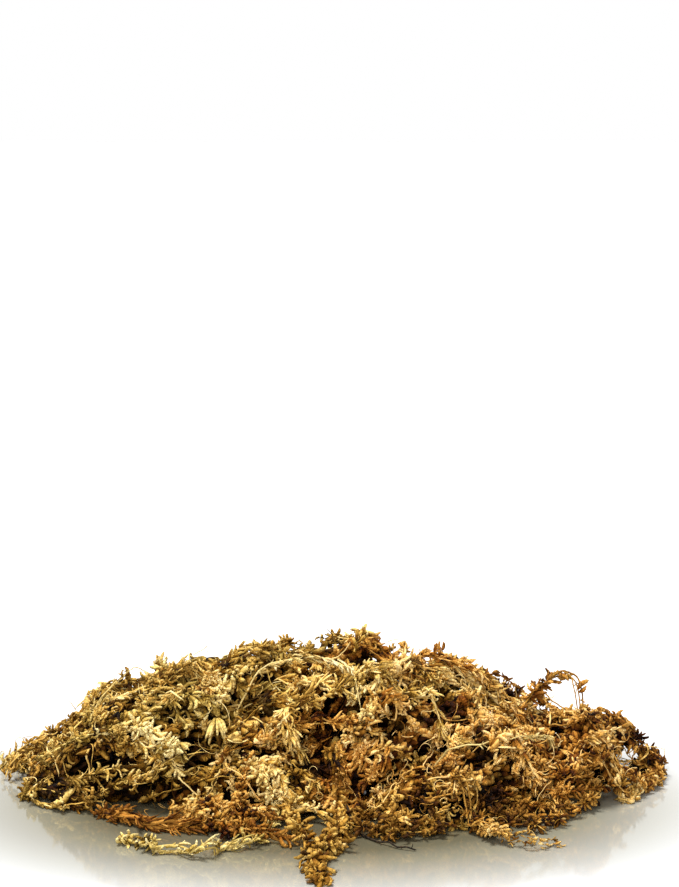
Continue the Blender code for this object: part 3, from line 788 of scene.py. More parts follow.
def clothe(pile, paths, habit, tone, warmth, taper=0.30, thin=True, size=1.0, hug=True):
    """Sets branches round the stems, in turning clusters. tone and warmth are one number for each path."""
    chance = pile.chance
    shoots = len(paths)
    if not shoots:
        return
    run = np.linalg.norm(np.diff(paths, axis=1), axis=2).sum(1).mean()
    count = max(2, round(run / habit.spacing))
    share = (np.arange(count) + 0.5) / count
    place = (share[None] + chance.normal(0, 0.2 / count, (shoots, count))) * (paths.shape[1] - 1)
    spots = read_paths(paths, place)
    ahead = unit(read_paths(paths, place + 0.7) - read_paths(paths, place - 0.7)).reshape(-1, 3)
    side = unit(np.cross(ahead, np.array([0.13, 0.21, 0.97])))
    other = np.cross(side, ahead)
    number = np.arange(count)[None]
    cluster_angle = chance.random((shoots, 1)) * math.tau + GOLDEN_TURN * number + chance.normal(0, 0.4, (shoots, count))
    cluster_lean = chance.normal(habit.spread, habit.vary * 0.7, (shoots, count)).ravel()
    cluster_tone = (tone[:, None] + wander(chance, share, 2.0, 0.12, shoots)
                    + chance.normal(0, 0.11, (shoots, count))).ravel()
    cluster_size = (size * (1 - taper * share**2) * chance.uniform(0.8, 1.2, (shoots, count))).ravel()
    fall = unit(chance.normal(0, 1, (shoots, 1, 3)) + np.array([0, 0, -0.6])) * np.ones((1, count, 1))
    fall = fall + np.stack([wander(chance, share, 2.0, 0.5, shoots) for _ in range(3)], axis=2)
    fall = (fall * chance.uniform(0.1, 0.4, (shoots, 1, 1))).reshape(-1, 3)
    cluster_angle = cluster_angle.ravel()
    warmth = np.repeat(warmth, count)
    spots = spots.reshape(-1, 3)
    many = len(spots)
    open_air = HEAP.outward(spots)[0] if hug else np.zeros((many, 3))
    for k in range(habit.count):
        beside = k - (habit.count - 1) / 2
        lean = np.clip(cluster_lean + chance.normal(0, habit.vary * 0.5, many), 0.05, 2.2)
        angle = cluster_angle + beside * CLUSTER_FAN / np.maximum(np.sin(lean), 0.45) + chance.normal(0, 0.2, many)
        out = side * np.cos(angle)[:, None] + other * np.sin(angle)[:, None]
        heads = unit(ahead * np.cos(lean)[:, None] + out * np.sin(lean)[:, None] + fall
                     + chance.normal(0, 0.12, (many, 3)))
        bend = -ahead * np.sin(lean)[:, None] + out * np.cos(lean)[:, None]
        outward = np.where(chance.random(many) < habit.outward, 1.0, -1.0)
        roll = chance.normal(0, 0.8, many)
        bend = bend * (outward * np.cos(roll))[:, None] + np.cross(heads, bend) * np.sin(roll)[:, None]
        rise = np.clip((heads * open_air).sum(1), 0, 1)[:, None]
        heads = heads - open_air * rise * HUG
        bend = bend - open_air * rise
        length = habit.length * cluster_size * chance.uniform(0.7, 1.2, many)
        width = habit.width * (habit.length * size / length) ** 0.5 * chance.uniform(0.85, 1.2, many)
        bases = spots + out * habit.stem * 0.6 + chance.normal(0, 0.4 * MM, (many, 3))
        add_grains(pile, bases, heads, bend, length, width, habit.kinds,
                   cluster_tone + chance.normal(0, 0.10, many), warmth + chance.normal(0, 0.12, many), thin)


def add_heads(pile, spots, axes, sizes, tone, warmth, count=16, thin=True):
    """The dense heads at shoots' tips: short buds in the middle and curled branches round them."""
    chance = pile.chance
    heads_count = len(spots)
    if not heads_count:
        return
    axes = unit(axes)
    side = unit(np.cross(axes, np.array([0.3, 0.5, 0.81])))
    other = np.cross(axes, side)
    rank = np.tile((np.arange(count) + 0.5) / count, heads_count)
    row = np.repeat(np.arange(heads_count), count)
    many = len(row)
    lean = 0.15 + 1.85 * rank ** 0.8 + chance.normal(0, 0.15, many)
    angle = GOLDEN_TURN * np.arange(many) + chance.normal(0, 0.25, many)
    out = side[row] * np.cos(angle)[:, None] + other[row] * np.sin(angle)[:, None]
    heads = axes[row] * np.cos(lean)[:, None] + out * np.sin(lean)[:, None]
    bend = (axes[row] * np.sin(lean)[:, None] - out * np.cos(lean)[:, None]) * chance.choice([1, 1, -1], many)[:, None]
    length = sizes[row] * (0.6 + 0.55 * rank) * chance.uniform(0.8, 1.2, many)
    add_grains(pile, spots[row] + out * sizes[row, None] * 0.08, heads, bend, length, np.full(many, 1.1),
               ["hooked", "curved", "comma", "plump", "comma"], tone[row] + chance.normal(0, 0.07, many),
               warmth[row] + chance.normal(0, 0.1, many), thin)


def add_threads(pile, spots, outs, tone, warmth, length=(5, 16), radius=(0.11, 0.20)):
    """Thin curled threads that start at the spots and wander off."""
    chance = pile.chance
    count = len(spots)
    if not count:
        return
    points = 20
    far = chance.uniform(*length, (count, 1)) * MM
    heading = unit(chance.normal(0, 1, (count, 3)) * np.array([1, 1, 0.6]) + outs)
    spin = unit(chance.normal(0, 1, (count, 3)))
    curl = chance.uniform(0.08, 0.42, (count, 1)) * chance.choice([-1, 1], (count, 1))
    rows = [spots]
    for _ in range(points - 1):
        spin = unit(spin + chance.normal(0, 0.16, (count, 3)))
        heading = unit(heading + curl * np.cross(spin, heading) + chance.normal(0, 0.06, (count, 3)))
        step = rows[-1] + heading * far / points
        out, steep = HEAP.outward(step)
        inside = np.clip(HEAP.fullness(step) - 0.42, 0, 1) / steep
        rows.append(step + out * np.minimum(inside, 1.0 * MM)[:, None])
    paths = np.stack(rows, axis=1)
    paths = paths[paths[..., 2].max(1) < CAD_HIGH[2] + 5 * MM]
    count = len(paths)
    add_rods(pile, "thread", paths, chance.uniform(*radius, count) * MM, tone + chance.normal(0, 0.10, count),
             warmth + chance.normal(0, 0.2, count), 0.5)


# ------------------------------------------------------------------ laying a tuft
MEAN_TONE = {"straw_moss": 0.60, "ochre_moss": 0.60, "rust_moss": 0.62, "brown_moss": 0.62,
             "olive_moss": 0.62, "cream_moss": 0.64}
TUFT_HABITS = {
    "straw_moss": ["rope", "plump", "worms", "stringy", "curled"],
    "ochre_moss": ["plump", "curled", "rope", "worms"],
    "rust_moss": ["curled", "plump", "rope", "worms"],
    "brown_moss": ["curled", "worms", "plump", "curled"],
    "olive_moss": ["worms", "rope", "stringy", "plump"],
    "cream_moss": ["plump", "rope", "worms", "leafy"],
}
LANE_WIDTH = 5.4 * MM
LANE_HEIGHT = 4.4 * MM
WALK_AREA = 80 * MM * MM
WALK_LENGTH = (12, 26)


def tuft_lanes(chance, lie):
    """Where the inner shoots run in a tuft's cross-section, as shares of its half width and thickness."""
    wide = 2 * lie.half_width.max()
    high = 2 * lie.half_thickness.max()
    rows = max(1, round((high - 2 * MM) / LANE_HEIGHT))
    columns = max(2, round((wide - 2 * MM) / LANE_WIDTH))
    lanes = []
    for row in range(rows):
        b = 0 if rows == 1 else -0.55 + 1.1 * row / (rows - 1)
        for column in range(columns):
            a = -0.80 + 1.6 * (column + 0.5 * (row % 2)) / max(1, columns - 0.5)
            lanes.append((a + chance.normal(0, 0.07), b + chance.normal(0, 0.12)))
    return np.array(lanes)


def lay_lanes(pile, lie, habits, mean):
    """The shoots that fill a tuft, along its length."""
    chance = pile.chance
    lanes = tuft_lanes(chance, lie)
    pick = chance.integers(0, len(habits), len(lanes))
    t = np.linspace(0, 1, PATH_POINTS)
    for k, name in enumerate(habits):
        mine = lanes[pick == k]
        count = len(mine)
        if not count:
            continue
        start = np.maximum(0.0, chance.uniform(-0.25, 0.22, (count, 1)))
        stop = np.minimum(1.0, chance.uniform(0.78, 1.25, (count, 1)))
        a = mine[:, :1] + wander(chance, t, 1.7, 0.30, count)
        b = mine[:, 1:] + wander(chance, t, 2.0, 0.36, count)
        paths = lie.at(start + (stop - start) * t, np.clip(a, -1.0, 1.0), np.clip(b, -0.85, 0.85))
        for axis in range(3):
            paths[..., axis] += wander(chance, t, 4.5, 0.8 * MM, count)
        paths[..., 2] = np.maximum(paths[..., 2], 1.6 * MM)
        tone = mean + chance.normal(0, 0.10, count)
        warmth = chance.normal(0, 0.32, count)
        clothe(pile, paths, HABITS[name], tone, warmth)
        add_rods(pile, "stem", paths, np.full(count, HABITS[name].stem), tone + 0.10, warmth * 0.5)


def skin_spots(pile, lie, samples=700):
    """Random places of a tuft that lie near the heap's skin, and the share of its surface that does."""
    chance = pile.chance
    side = chance.choice([-1.0, 1.0], samples)
    spots = lie.at(chance.random(samples), chance.uniform(-1, 1, samples), side)
    near = (HEAP.fullness(spots) < 0.72) & (HEAP.depth(spots) < 4 * MM) & (hollow_share(spots) < 0.3)
    return spots[near], near.mean()


def lay_walks(pile, lie, habits, mean):
    """The loose shoots that cover the heap's skin, each going its own way."""
    chance = pile.chance
    spots, share = skin_spots(pile, lie)
    area = share * 2 * lie.length * 2 * lie.half_width.mean()
    fine = fineness(lie.centres[:, 0]).mean()
    count = min(len(spots), max(2, round(area / (WALK_AREA * fine**2))))
    if not len(spots):
        return
    spots = spots[chance.permutation(len(spots))[:count]]
    pick = chance.integers(0, len(habits), count)
    for k, name in enumerate(habits):
        starts = spots[pick == k]
        many = len(starts)
        if not many:
            continue
        headings = unit(chance.normal(0, 1, (many, 3)) + np.array([0, 0, -0.3]))
        turning = chance.normal(0, 75.0, many)
        level = chance.uniform(0.30, 0.62, many)
        paths = skin_walks(chance, starts, headings, turning, level, chance.uniform(*WALK_LENGTH, many) * MM)
        tone = mean + 0.04 + chance.normal(0, 0.15, many)
        warmth = chance.normal(0, 0.34, many)
        clothe(pile, paths, HABITS[name], tone, warmth)
        add_rods(pile, "stem", paths, np.full(many, HABITS[name].stem), tone + 0.14, warmth * 0.5)
        headed = chance.random(many) < 0.55
        out, _ = HEAP.outward(paths[headed, -1])
        axes = unit(paths[headed, -1] - paths[headed, -4]) + 0.6 * out
        add_heads(pile, paths[headed, -1], axes, chance.uniform(3.6, 5.4, len(axes)) * MM, tone[headed] + 0.04,
                  warmth[headed])


def lay_loose_threads(pile, lie, mean):
    """Thin pale threads and a few bare stems over the skin."""
    chance = pile.chance
    spots, share = skin_spots(pile, lie, 300)
    count = min(len(spots), round(share * lie.length / (1.5 * MM)))
    spots = HEAP.settle(spots[:count], 0.35)
    if not len(spots):
        return
    out, _ = HEAP.outward(spots)
    thick = len(spots) // 4
    add_threads(pile, spots[:thick], out[:thick] * 0.3, mean + 0.20, -0.02, (5, 10), (0.22, 0.36))
    add_threads(pile, spots[thick:], out[thick:] * 0.5, mean + 0.26, -0.02)
    few = HEAP.settle(spots[:max(1, count // 6)], 0.30)
    many = len(few)
    paths = skin_walks(chance, few, unit(chance.normal(0, 1, (many, 3))), chance.normal(0, 45.0, many),
                       chance.uniform(0.22, 0.36, many), chance.uniform(12, 24, many) * MM)
    add_rods(pile, "stem", paths, chance.uniform(0.30, 0.50, many) * MM, mean + 0.26 + chance.normal(0, 0.06, many),
             chance.normal(-0.1, 0.2, many), 0.3)


# Shoots that the photo shows apart from the rest: tuft, habit, tone, warmth, size, points in millimetres.
CHOSEN_SHOOTS = [
    ("middle_tuft_05", "leafy", 0.86, 0.0, 1.0, [(-78, -3, 32), (-73, -6, 29), (-68, -8, 27), (-63, -8, 24), (-58, -12, 22)]),
    ("lower_tuft_05", "leafy", 0.84, 0.0, 1.0, [(-77, -4, 26), (-71, -8, 24), (-65, -10, 21), (-61, -12, 19)]),
    ("lower_tuft_04", "rope", 0.84, 0.0, 1.0, [(-33, -18, 21), (-29, -19, 18), (-25, -23, 14), (-19, -26, 10), (-11, -28, 5), (-6, -32, 3)]),
    ("lower_tuft_04", "leafy", 0.82, 0.05, 1.0, [(-28, -17, 19), (-22, -20, 17), (-18, -23, 12), (-14, -25, 7)]),
    ("lower_tuft_04", "leafy", 0.86, 0.0, 1.0, [(-20, -14, 20), (-24, -16, 18), (-28, -19, 16)]),
    ("upper_tuft_05", "plump", 0.76, 0.1, 1.15, [(-39, 12, 46), (-42, 8, 43), (-46, 2, 41), (-50, -4, 39)]),
    ("upper_tuft_02", "stringy", 0.84, -0.1, 0.9, [(-16, -4, 40), (-18, -6, 35), (-17, -8, 30), (-15, -8, 24), (-11, -8, 17)]),
    ("upper_tuft_02", "stringy", 0.80, 0.0, 0.9, [(-19, -3, 39), (-21, -6, 34), (-19, -8, 28), (-14, -8, 22)]),
    ("upper_tuft_02", "rope", 0.55, 0.95, 1.0, [(-26, -10, 32), (-19, -8, 33), (-12, -7, 33), (-4, -6, 33), (4, -7, 33), (11, -9, 33), (18, -9, 28)]),
    ("middle_tuft_08", "rope", 0.58, 0.85, 0.9, [(-10, -6, 35), (-2, -5, 34), (6, -6, 34), (14, -8, 31)]),
    ("middle_tuft_03", "rope", 0.62, 0.75, 1.0, [(14, -5, 27), (8, -10, 23), (2, -15, 18), (-4, -19, 11)]),
    ("middle_tuft_03", "rope", 0.60, 0.85, 1.0, [(18, -8, 26), (12, -12, 20), (6, -15, 13), (0, -24, 7)]),
    ("middle_tuft_03", "rope", 0.58, 0.75, 1.0, [(22, -12, 25), (17, -16, 19), (12, -18, 13), (7, -26, 6)]),
    ("upper_tuft_06", "rope", 0.92, -0.3, 1.1, [(14, 2, 41), (19, 9, 43), (24, 15, 47), (27, 20, 51), (27, 26, 54)]),
    ("upper_tuft_06", "rope", 0.90, -0.3, 1.0, [(23, 13, 46), (29, 18, 48), (34, 24, 49)]),
    ("crossing_strand_top_right", "stringy", 0.94, -0.3, 1.1, [(36, 18, 49), (44, 22, 46), (53, 26, 43), (61, 26, 39), (68, 26, 36)]),
    ("crossing_strand_top_right", "stringy", 0.92, -0.3, 1.1, [(40, 24, 49), (48, 28, 46), (56, 30, 42), (66, 30, 38)]),
    ("middle_tuft_12", "rope", 0.50, 0.9, 0.9, [(60, 30, 41), (66, 34, 39), (72, 38, 35), (76, 40, 31)]),
    ("middle_tuft_03", "plump", 0.72, 0.3, 1.4, [(54, -8, 26), (59, -3, 29), (65, 0, 31), (72, 2, 31), (78, 3, 28)]),
    ("lower_tuft_17", "plump", 0.70, 0.3, 1.4, [(60, -18, 24), (63, -17, 29), (70, -14, 30), (76, -12, 27)]),
    ("middle_tuft_11", "plump", 0.68, 0.35, 1.3, [(83, 12, 27), (79, 2, 26), (73, -10, 23), (69, -16, 17)]),
    ("lower_tuft_20", "curled", 0.52, 0.9, 1.1, [(75, -2, 24), (82, -7, 20), (90, -9, 15), (98, -8, 9), (105, -6, 5)]),
    ("lower_tuft_20", "plump", 0.50, 0.9, 1.1, [(82, -10, 5), (87, -12, 10), (95, -9, 15), (102, -7, 19), (107, 0, 20)]),
    ("base_tuft_05", "curled", 0.50, 0.9, 1.0, [(72, -17, 16), (80, -14, 9), (88, -13, 5), (97, -10, 4)]),
    ("lower_tuft_20", "stringy", 0.92, -0.5, 1.0, [(99, -4, 24), (106, -2, 27), (113, 4, 27), (120, 10, 27)]),
    ("upper_tuft_01", "stringy", 0.86, -0.1, 1.0, [(-24, 10, 46), (-16, 8, 48), (-8, 4, 48), (0, 1, 47), (6, 0, 43)]),
    ("upper_tuft_05", "stringy", 0.84, -0.1, 0.9, [(-23, 8, 46), (-20, 2, 44), (-18, -3, 40), (-19, -5, 36)]),
    ("middle_tuft_05", "rope", 0.74, -0.1, 1.0, [(-120, 14, 8), (-110, 6, 17), (-100, 1, 23), (-90, -2, 28), (-82, -3, 33)]),
    ("lower_tuft_05", "worms", 0.70, -0.2, 1.0, [(-107, -9, 7), (-99, -9, 9), (-90, -9, 12), (-80, -10, 15)]),
    ("crossing_strand_top_left", "stringy", 0.80, -0.3, 1.1, [(-96, 14, 35), (-87, 10, 39), (-78, 8, 42), (-69, 7, 45)]),
    ("base_tuft_04", "plump", 0.66, 0.0, 1.0, [(-58, -20, 4), (-50, -24, 5), (-42, -28, 6), (-33, -27, 6), (-24, -27, 5)]),
    ("lower_tuft_14", "plump", 0.62, 0.4, 1.0, [(17, -30, 5), (26, -33, 6), (35, -34, 6), (44, -31, 7)]),
    ("lower_tuft_06", "worms", 0.70, 0.0, 1.0, [(38, -12, 15), (42, -13, 20), (47, -9, 25), (52, -4, 28)]),
]
# Lobes that spread on the floor before the heap's edge, laid just as their points say.
EDGE_SHOOTS = [
    ("base_tuft_05", "curled", 0.46, 0.9, 1.1, [(56, -13, 4), (66, -20, 5), (75, -24, 6), (84, -25, 5), (93, -20, 4)]),
    ("base_tuft_05", "curled", 0.44, 0.9, 1.1, [(70, -12, 3), (79, -18, 4), (88, -19, 4), (97, -16, 4), (104, -11, 4)]),
    ("base_tuft_05", "plump", 0.50, 0.8, 1.1, [(60, -21, 3), (69, -26, 3), (77, -29, 3), (86, -27, 3), (95, -21, 3)]),
    ("lower_tuft_20", "curled", 0.46, 0.95, 1.1, [(74, -13, 9), (82, -17, 10), (91, -17, 9), (99, -12, 8), (106, -6, 6)]),
    ("lower_tuft_20", "plump", 0.48, 0.85, 1.1, [(71, -9, 12), (78, -13, 14), (86, -14, 14), (94, -11, 13), (102, -5, 11)]),
    ("lower_tuft_17", "plump", 0.58, 0.4, 1.2, [(50, -19, 8), (58, -22, 10), (66, -21, 11), (74, -17, 12)]),
    ("lower_tuft_14", "curled", 0.42, 0.5, 1.1, [(46, -28, 3), (54, -31, 4), (62, -30, 5), (70, -26, 4)]),
    ("lower_tuft_14", "plump", 0.52, 0.3, 1.1, [(48, -22, 6), (55, -25, 7), (62, -25, 8), (69, -22, 9)]),
    ("lower_tuft_14", "curled", 0.40, 0.5, 1.0, [(50, -32, 3), (59, -37, 3), (68, -38, 4), (77, -35, 3), (85, -30, 3)]),
    ("lower_tuft_14", "worms", 0.54, 0.5, 1.1, [(8, -30, 5), (16, -36, 6), (25, -39, 6), (34, -39, 5), (43, -37, 4)]),
    ("lower_tuft_14", "curled", 0.44, 0.5, 1.0, [(12, -38, 3), (21, -42, 3), (31, -43, 3), (41, -41, 3)]),
    ("base_tuft_04", "plump", 0.60, -0.2, 1.1, [(-64, -24, 5), (-53, -31, 6), (-43, -36, 5), (-34, -38, 4)]),
    ("base_tuft_04", "curled", 0.58, -0.1, 1.0, [(-46, -29, 8), (-36, -34, 9), (-26, -37, 8), (-16, -39, 6)]),
    ("base_tuft_04", "worms", 0.54, 0.1, 1.0, [(-40, -37, 3), (-31, -43, 4), (-23, -46, 4), (-15, -50, 3)]),
    ("lower_tuft_04", "worms", 0.56, 0.2, 1.0, [(-20, -29, 9), (-16, -36, 8), (-12, -44, 6), (-10, -52, 3)]),
]
EDGE_HEADS = 4
CHOSEN_LEVEL = 0.19
# Dense curled clusters on the skin: tuft, place, size in millimetres, tone, warmth.
CHOSEN_HEADS = [
    ("middle_tuft_05", (-77, -4, 31), 5.5, 0.95, -0.1),
    ("middle_tuft_05", (-71, -7, 29), 5.5, 0.98, -0.1),
    ("middle_tuft_05", (-66, -9, 26), 5.5, 1.00, -0.1),
    ("middle_tuft_05", (-61, -11, 22), 5.0, 0.96, 0.0),
    ("upper_tuft_05", (-39, 12, 46), 5.5, 0.84, 0.1),
    ("upper_tuft_05", (-44, 8, 43), 5.5, 0.80, 0.1),
    ("upper_tuft_05", (-48, 11, 44), 5.0, 0.78, 0.2),
    ("lower_tuft_04", (-32, -18, 20), 5.5, 0.90, -0.1),
    ("lower_tuft_04", (-27, -21, 17), 5.5, 0.95, -0.1),
    ("lower_tuft_04", (-22, -24, 12), 5.0, 0.92, 0.0),
    ("lower_tuft_04", (-15, -27, 7), 5.0, 0.86, 0.0),
    ("middle_tuft_03", (11, -11, 22), 5.5, 0.72, 0.7),
    ("middle_tuft_03", (5, -15, 16), 5.5, 0.70, 0.8),
    ("middle_tuft_03", (15, -16, 17), 5.0, 0.68, 0.8),
    ("middle_tuft_11", (62, -3, 30), 5.5, 0.76, 0.2),
    ("middle_tuft_11", (69, -3, 31), 5.5, 0.80, 0.1),
    ("middle_tuft_11", (76, -4, 28), 5.5, 0.76, 0.3),
    ("middle_tuft_11", (70, -11, 25), 5.0, 0.72, 0.3),
    ("looped_strand_right_end", (133, 9, 4), 5.0, 0.80, -0.4),
    ("looped_strand_right_end", (128, 6, 4), 5.0, 0.78, -0.3),
    ("looped_strand_right_end", (123, 3, 4), 4.5, 0.74, -0.3),
]
# Long branches that hang from one place: tuft, place, direction, length, count, tone, warmth.
FANS = [
    ("middle_tuft_05", (-46, -5, 36), (0.0, -0.55, -0.85), 10.5, 9, 0.78, 0.0),
    ("upper_tuft_02", (-17, -7, 31), (0.35, -0.5, -0.8), 8.5, 5, 0.82, 0.0),
    ("middle_tuft_11", (68, -8, 30), (-0.1, -0.7, -0.7), 8.0, 6, 0.74, 0.2),
    ("lower_tuft_04", (-26, -20, 19), (0.2, -0.7, -0.6), 6.5, 6, 0.88, 0.0),
]


def lay_chosen(pile, name):
    """The shoots and fans of this piece that the photo shows apart from the rest."""
    chance = pile.chance
    for tuft, habit, tone, warmth, size, points in CHOSEN_SHOOTS:
        if tuft != name:
            continue
        path = smooth_through(np.array(points) * MM, PATH_POINTS)
        t = np.linspace(0, 1, PATH_POINTS)
        path = np.stack([path[:, k] + wander(chance, t, 2.5, 0.5 * MM)[0] for k in range(3)], axis=1)
        path = HEAP.settle(path, CHOSEN_LEVEL, 4)[None]
        path[..., 2] = np.maximum(path[..., 2], 1.5 * MM)
        clothe(pile, path, HABITS[habit], np.array([tone]), np.array([warmth]), 0.2, False, size)
        add_rods(pile, "stem", path, [0.4 * MM], tone + 0.05, warmth * 0.6)
    for tuft, habit, tone, warmth, size, points in EDGE_SHOOTS:
        if tuft != name:
            continue
        path = smooth_through(np.array(points) * MM, PATH_POINTS)[None]
        clothe(pile, path, HABITS[habit], np.array([tone]), np.array([warmth]), 0.2, False, size, False)
        add_rods(pile, "stem", path, [0.4 * MM], tone + 0.05, warmth * 0.6)
        spots = path[0, chance.integers(0, PATH_POINTS, EDGE_HEADS)]
        spots = spots + chance.normal(0, 1.0 * MM, spots.shape)
        add_heads(pile, spots, chance.normal(0, 1, spots.shape) + np.array([0, -0.8, 0.6]),
                  np.full(EDGE_HEADS, 5.0 * MM), np.full(EDGE_HEADS, tone), np.full(EDGE_HEADS, warmth), 14, False)
        add_threads(pile, spots, np.tile([0, -0.8, 0.1], (EDGE_HEADS, 1)), tone + 0.2, 0.0, (5, 12))
    mine = [row for row in CHOSEN_HEADS if row[0] == name]
    if mine:
        places, heads, tones, warmths = (np.array(column, float) for column in list(zip(*mine))[1:])
        spots = HEAP.settle(places * MM, 0.28)
        add_heads(pile, spots, HEAP.outward(spots)[0], heads * MM, tones, warmths, 22, False)
    for tuft, place, direction, length, count, tone, warmth in FANS:
        if tuft != name:
            continue
        base = HEAP.settle(np.array([place]) * MM, 0.25)
        axis = unit(np.array(direction, float))
        side = unit(np.cross(axis, np.array([0.0, -0.8, 0.6])))
        spread = np.linspace(-0.5, 0.5, count) + chance.normal(0, 0.10, count)
        heads = axis + side * spread[:, None] + chance.normal(0, 0.14, (count, 3))
        bend = np.cross(heads, side) + side * spread[:, None] * 1.5
        add_grains(pile, base + side * spread[:, None] * 1.2 * MM, heads, bend,
                   length * MM * chance.uniform(0.6, 1.1, count), np.full(count, 1.0), ["slender", "slender", "wavy"],
                   tone + chance.normal(0, 0.05, count), np.full(count, warmth), False)


def lay_tuft(name):
    """A tuft of many shoots in the place of one CAD solid."""
    lie = LIES[name]
    slot = SLOT_OF[name]
    pile = Pile(name)
    habits = TUFT_HABITS[slot]
    lay_lanes(pile, lie, habits, MEAN_TONE[slot])
    lay_walks(pile, lie, habits, MEAN_TONE[slot])
    lay_loose_threads(pile, lie, MEAN_TONE[slot])
    lay_chosen(pile, name)
    return finish_piece(pile, slot, name)


def finish_piece(pile, slot, name):
    """Makes the piece, gives it its finish, hides the CAD part that it stands for and hangs it under the body."""
    obj = pile.model()
    obj.data.materials.append(finish_for(slot))
    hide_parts(name)
    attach(obj, BODY)
    return obj


# ------------------------------------------------------------------ finishes
# Middle colour of each kind of moss, as linear red, green and blue.
MOSS_COLOURS = {
    "bare_stem": (0.66, 0.490, 0.165),
    "straw_moss": (0.64, 0.405, 0.090),
    "ochre_moss": (0.63, 0.375, 0.075),
    "rust_moss": (0.60, 0.285, 0.050),
    "brown_moss": (0.55, 0.290, 0.058),
    "olive_moss": (0.59, 0.405, 0.100),
    "cream_moss": (0.70, 0.500, 0.130),
}
# From deep brown to the palest tip: how bright each step is, and how rich against the middle colour.
RAMP_STEPS = [(0.035, 1.75), (0.16, 1.45), (0.36, 1.14), (0.60, 0.97), (0.87, 0.78), (0.99, 0.55)]
RAMP_PLACES = [0.0, 0.22, 0.42, 0.60, 0.80, 1.0]
WARM_FAMILY = "rust_moss"
COOL_FAMILY = "olive_moss"


def moss_ramp(slot):
    """The steps of one kind of moss, from deep brown to its palest tip."""
    main = np.array(getattr(bpy.context.scene.moss_colours, slot))
    return [tuple(bright * (main / main.max()) ** rich) for bright, rich in RAMP_STEPS]


FINISHES = {}


def add_node(tree, kind, **inputs):
    """A node with its inputs set: a socket is linked, anything else is its value."""
    node = tree.nodes.new(kind)
    for name, value in inputs.items():
        socket = node.inputs[int(name[1:])] if name[0] == "i" and name[1:].isdigit() else node.inputs[name]
        if isinstance(value, bpy.types.NodeSocket):
            tree.links.new(value, socket)
        else:
            socket.default_value = value
    return node


def maths(tree, operation, first, second=0.0, clamp=False):
    node = add_node(tree, "ShaderNodeMath", i0=first, i1=second)
    node.operation = operation
    node.use_clamp = clamp
    return node.outputs[0]


def ramp(tree, value, colours):
    node = add_node(tree, "ShaderNodeValToRGB", Fac=value)
    steps = node.color_ramp.elements
    for place, colour in zip(RAMP_PLACES[1:-1], colours[1:-1]):
        steps.new(place).color = (*colour, 1)
    steps[0].color = (*colours[0], 1)
    steps[-1].color = (*colours[-1], 1)
    return node.outputs["Color"]


def spread_value(tree, value, low, high, to_low, to_high):
    node = add_node(tree, "ShaderNodeMapRange", Value=value)
    for socket, number in zip(("From Min", "From Max", "To Min", "To Max"), (low, high, to_low, to_high)):
        node.inputs[socket].default_value = number
    return node.outputs["Result"]


def mixed_colour(tree, share, first, second):
    node = tree.nodes.new("ShaderNodeMix")
    node.data_type = "RGBA"
    sockets = {socket.identifier: socket for socket in node.inputs}
    tree.links.new(share, sockets["Factor_Float"])
    tree.links.new(first, sockets["A_Color"])
    tree.links.new(second, sockets["B_Color"])
    return next(socket for socket in node.outputs if socket.identifier == "Result_Color")


def moss_finish(slot):
    """Matt dry moss: each branch has its own tone, with fine leaf scales on it, and painted shade that makes it darker
    at its base and deep in the heap.
    """
    material = bpy.data.materials.new(slot)
    material.use_nodes = True
    tree = material.node_tree
    shader = tree.nodes["Principled BSDF"]
    look = add_node(tree, "ShaderNodeAttribute")
    look.attribute_name = "moss_tone_and_painted_shade"
    parts = add_node(tree, "ShaderNodeSeparateXYZ", Vector=look.outputs["Vector"])
    along = add_node(tree, "ShaderNodeAttribute")
    along.attribute_name = "along"
    coords = tree.nodes.new("ShaderNodeTexCoord").outputs["Object"]
    blotches = add_node(tree, "ShaderNodeTexNoise", Vector=coords, Scale=420.0, Detail=2.0).outputs["Fac"]
    scales = add_node(tree, "ShaderNodeTexNoise", Vector=coords, Scale=2400.0, Detail=2.0).outputs["Fac"]
    tone = maths(tree, "ADD", parts.outputs["X"], spread_value(tree, blotches, 0.3, 0.7, -0.10, 0.10))
    # Tone rises along the branch: painted shade at its base and a painted highlight at its tip.
    tone = maths(tree, "ADD", tone, spread_value(tree, along.outputs["Fac"], 0.2, 1.0, -0.05, 0.10), True)
    colour = ramp(tree, tone, moss_ramp(slot))
    warm = maths(tree, "MULTIPLY", parts.outputs["Y"], 0.70, True)
    cool = maths(tree, "MULTIPLY", parts.outputs["Y"], -0.60, True)
    if slot != WARM_FAMILY:
        colour = mixed_colour(tree, warm, colour, ramp(tree, tone, moss_ramp(WARM_FAMILY)))
    if slot != COOL_FAMILY:
        colour = mixed_colour(tree, cool, colour, ramp(tree, tone, moss_ramp(COOL_FAMILY)))
    # Painted shade, deep in the heap, in its hollows and at the base of each branch: it makes the colour darker and
    # richer, then dims it.
    dark = maths(tree, "ADD", maths(tree, "SUBTRACT", 1.0, parts.outputs["Z"]),
                 spread_value(tree, along.outputs["Fac"], 0.0, 0.55, 0.30, 0.0))
    rich = add_node(tree, "ShaderNodeGamma", Color=colour, Gamma=spread_value(tree, dark, 0.0, 1.0, 1.0, 2.3))
    light = spread_value(tree, scales, 0.3, 0.7, 0.84, 1.14)
    light = maths(tree, "MULTIPLY", light, spread_value(tree, dark, 0.08, 0.95, 1.0, 0.08))
    scaled = add_node(tree, "ShaderNodeVectorMath", i0=rich.outputs["Color"], i3=light)
    scaled.operation = "SCALE"
    tree.links.new(scaled.outputs[0], shader.inputs["Base Color"])
    tree.links.new(spread_value(tree, blotches, 0.3, 0.7, 0.62, 0.85), shader.inputs["Roughness"])
    wave = maths(tree, "SINE", maths(tree, "MULTIPLY", along.outputs["Fac"], 42.0))
    height = maths(tree, "ADD", maths(tree, "MULTIPLY", wave, 0.35), scales)
    bump = add_node(tree, "ShaderNodeBump", Height=height, Strength=0.8, Distance=0.0004)
    tree.links.new(bump.outputs["Normal"], shader.inputs["Normal"])
    shader.inputs["Specular IOR Level"].default_value = 0.12
    return material


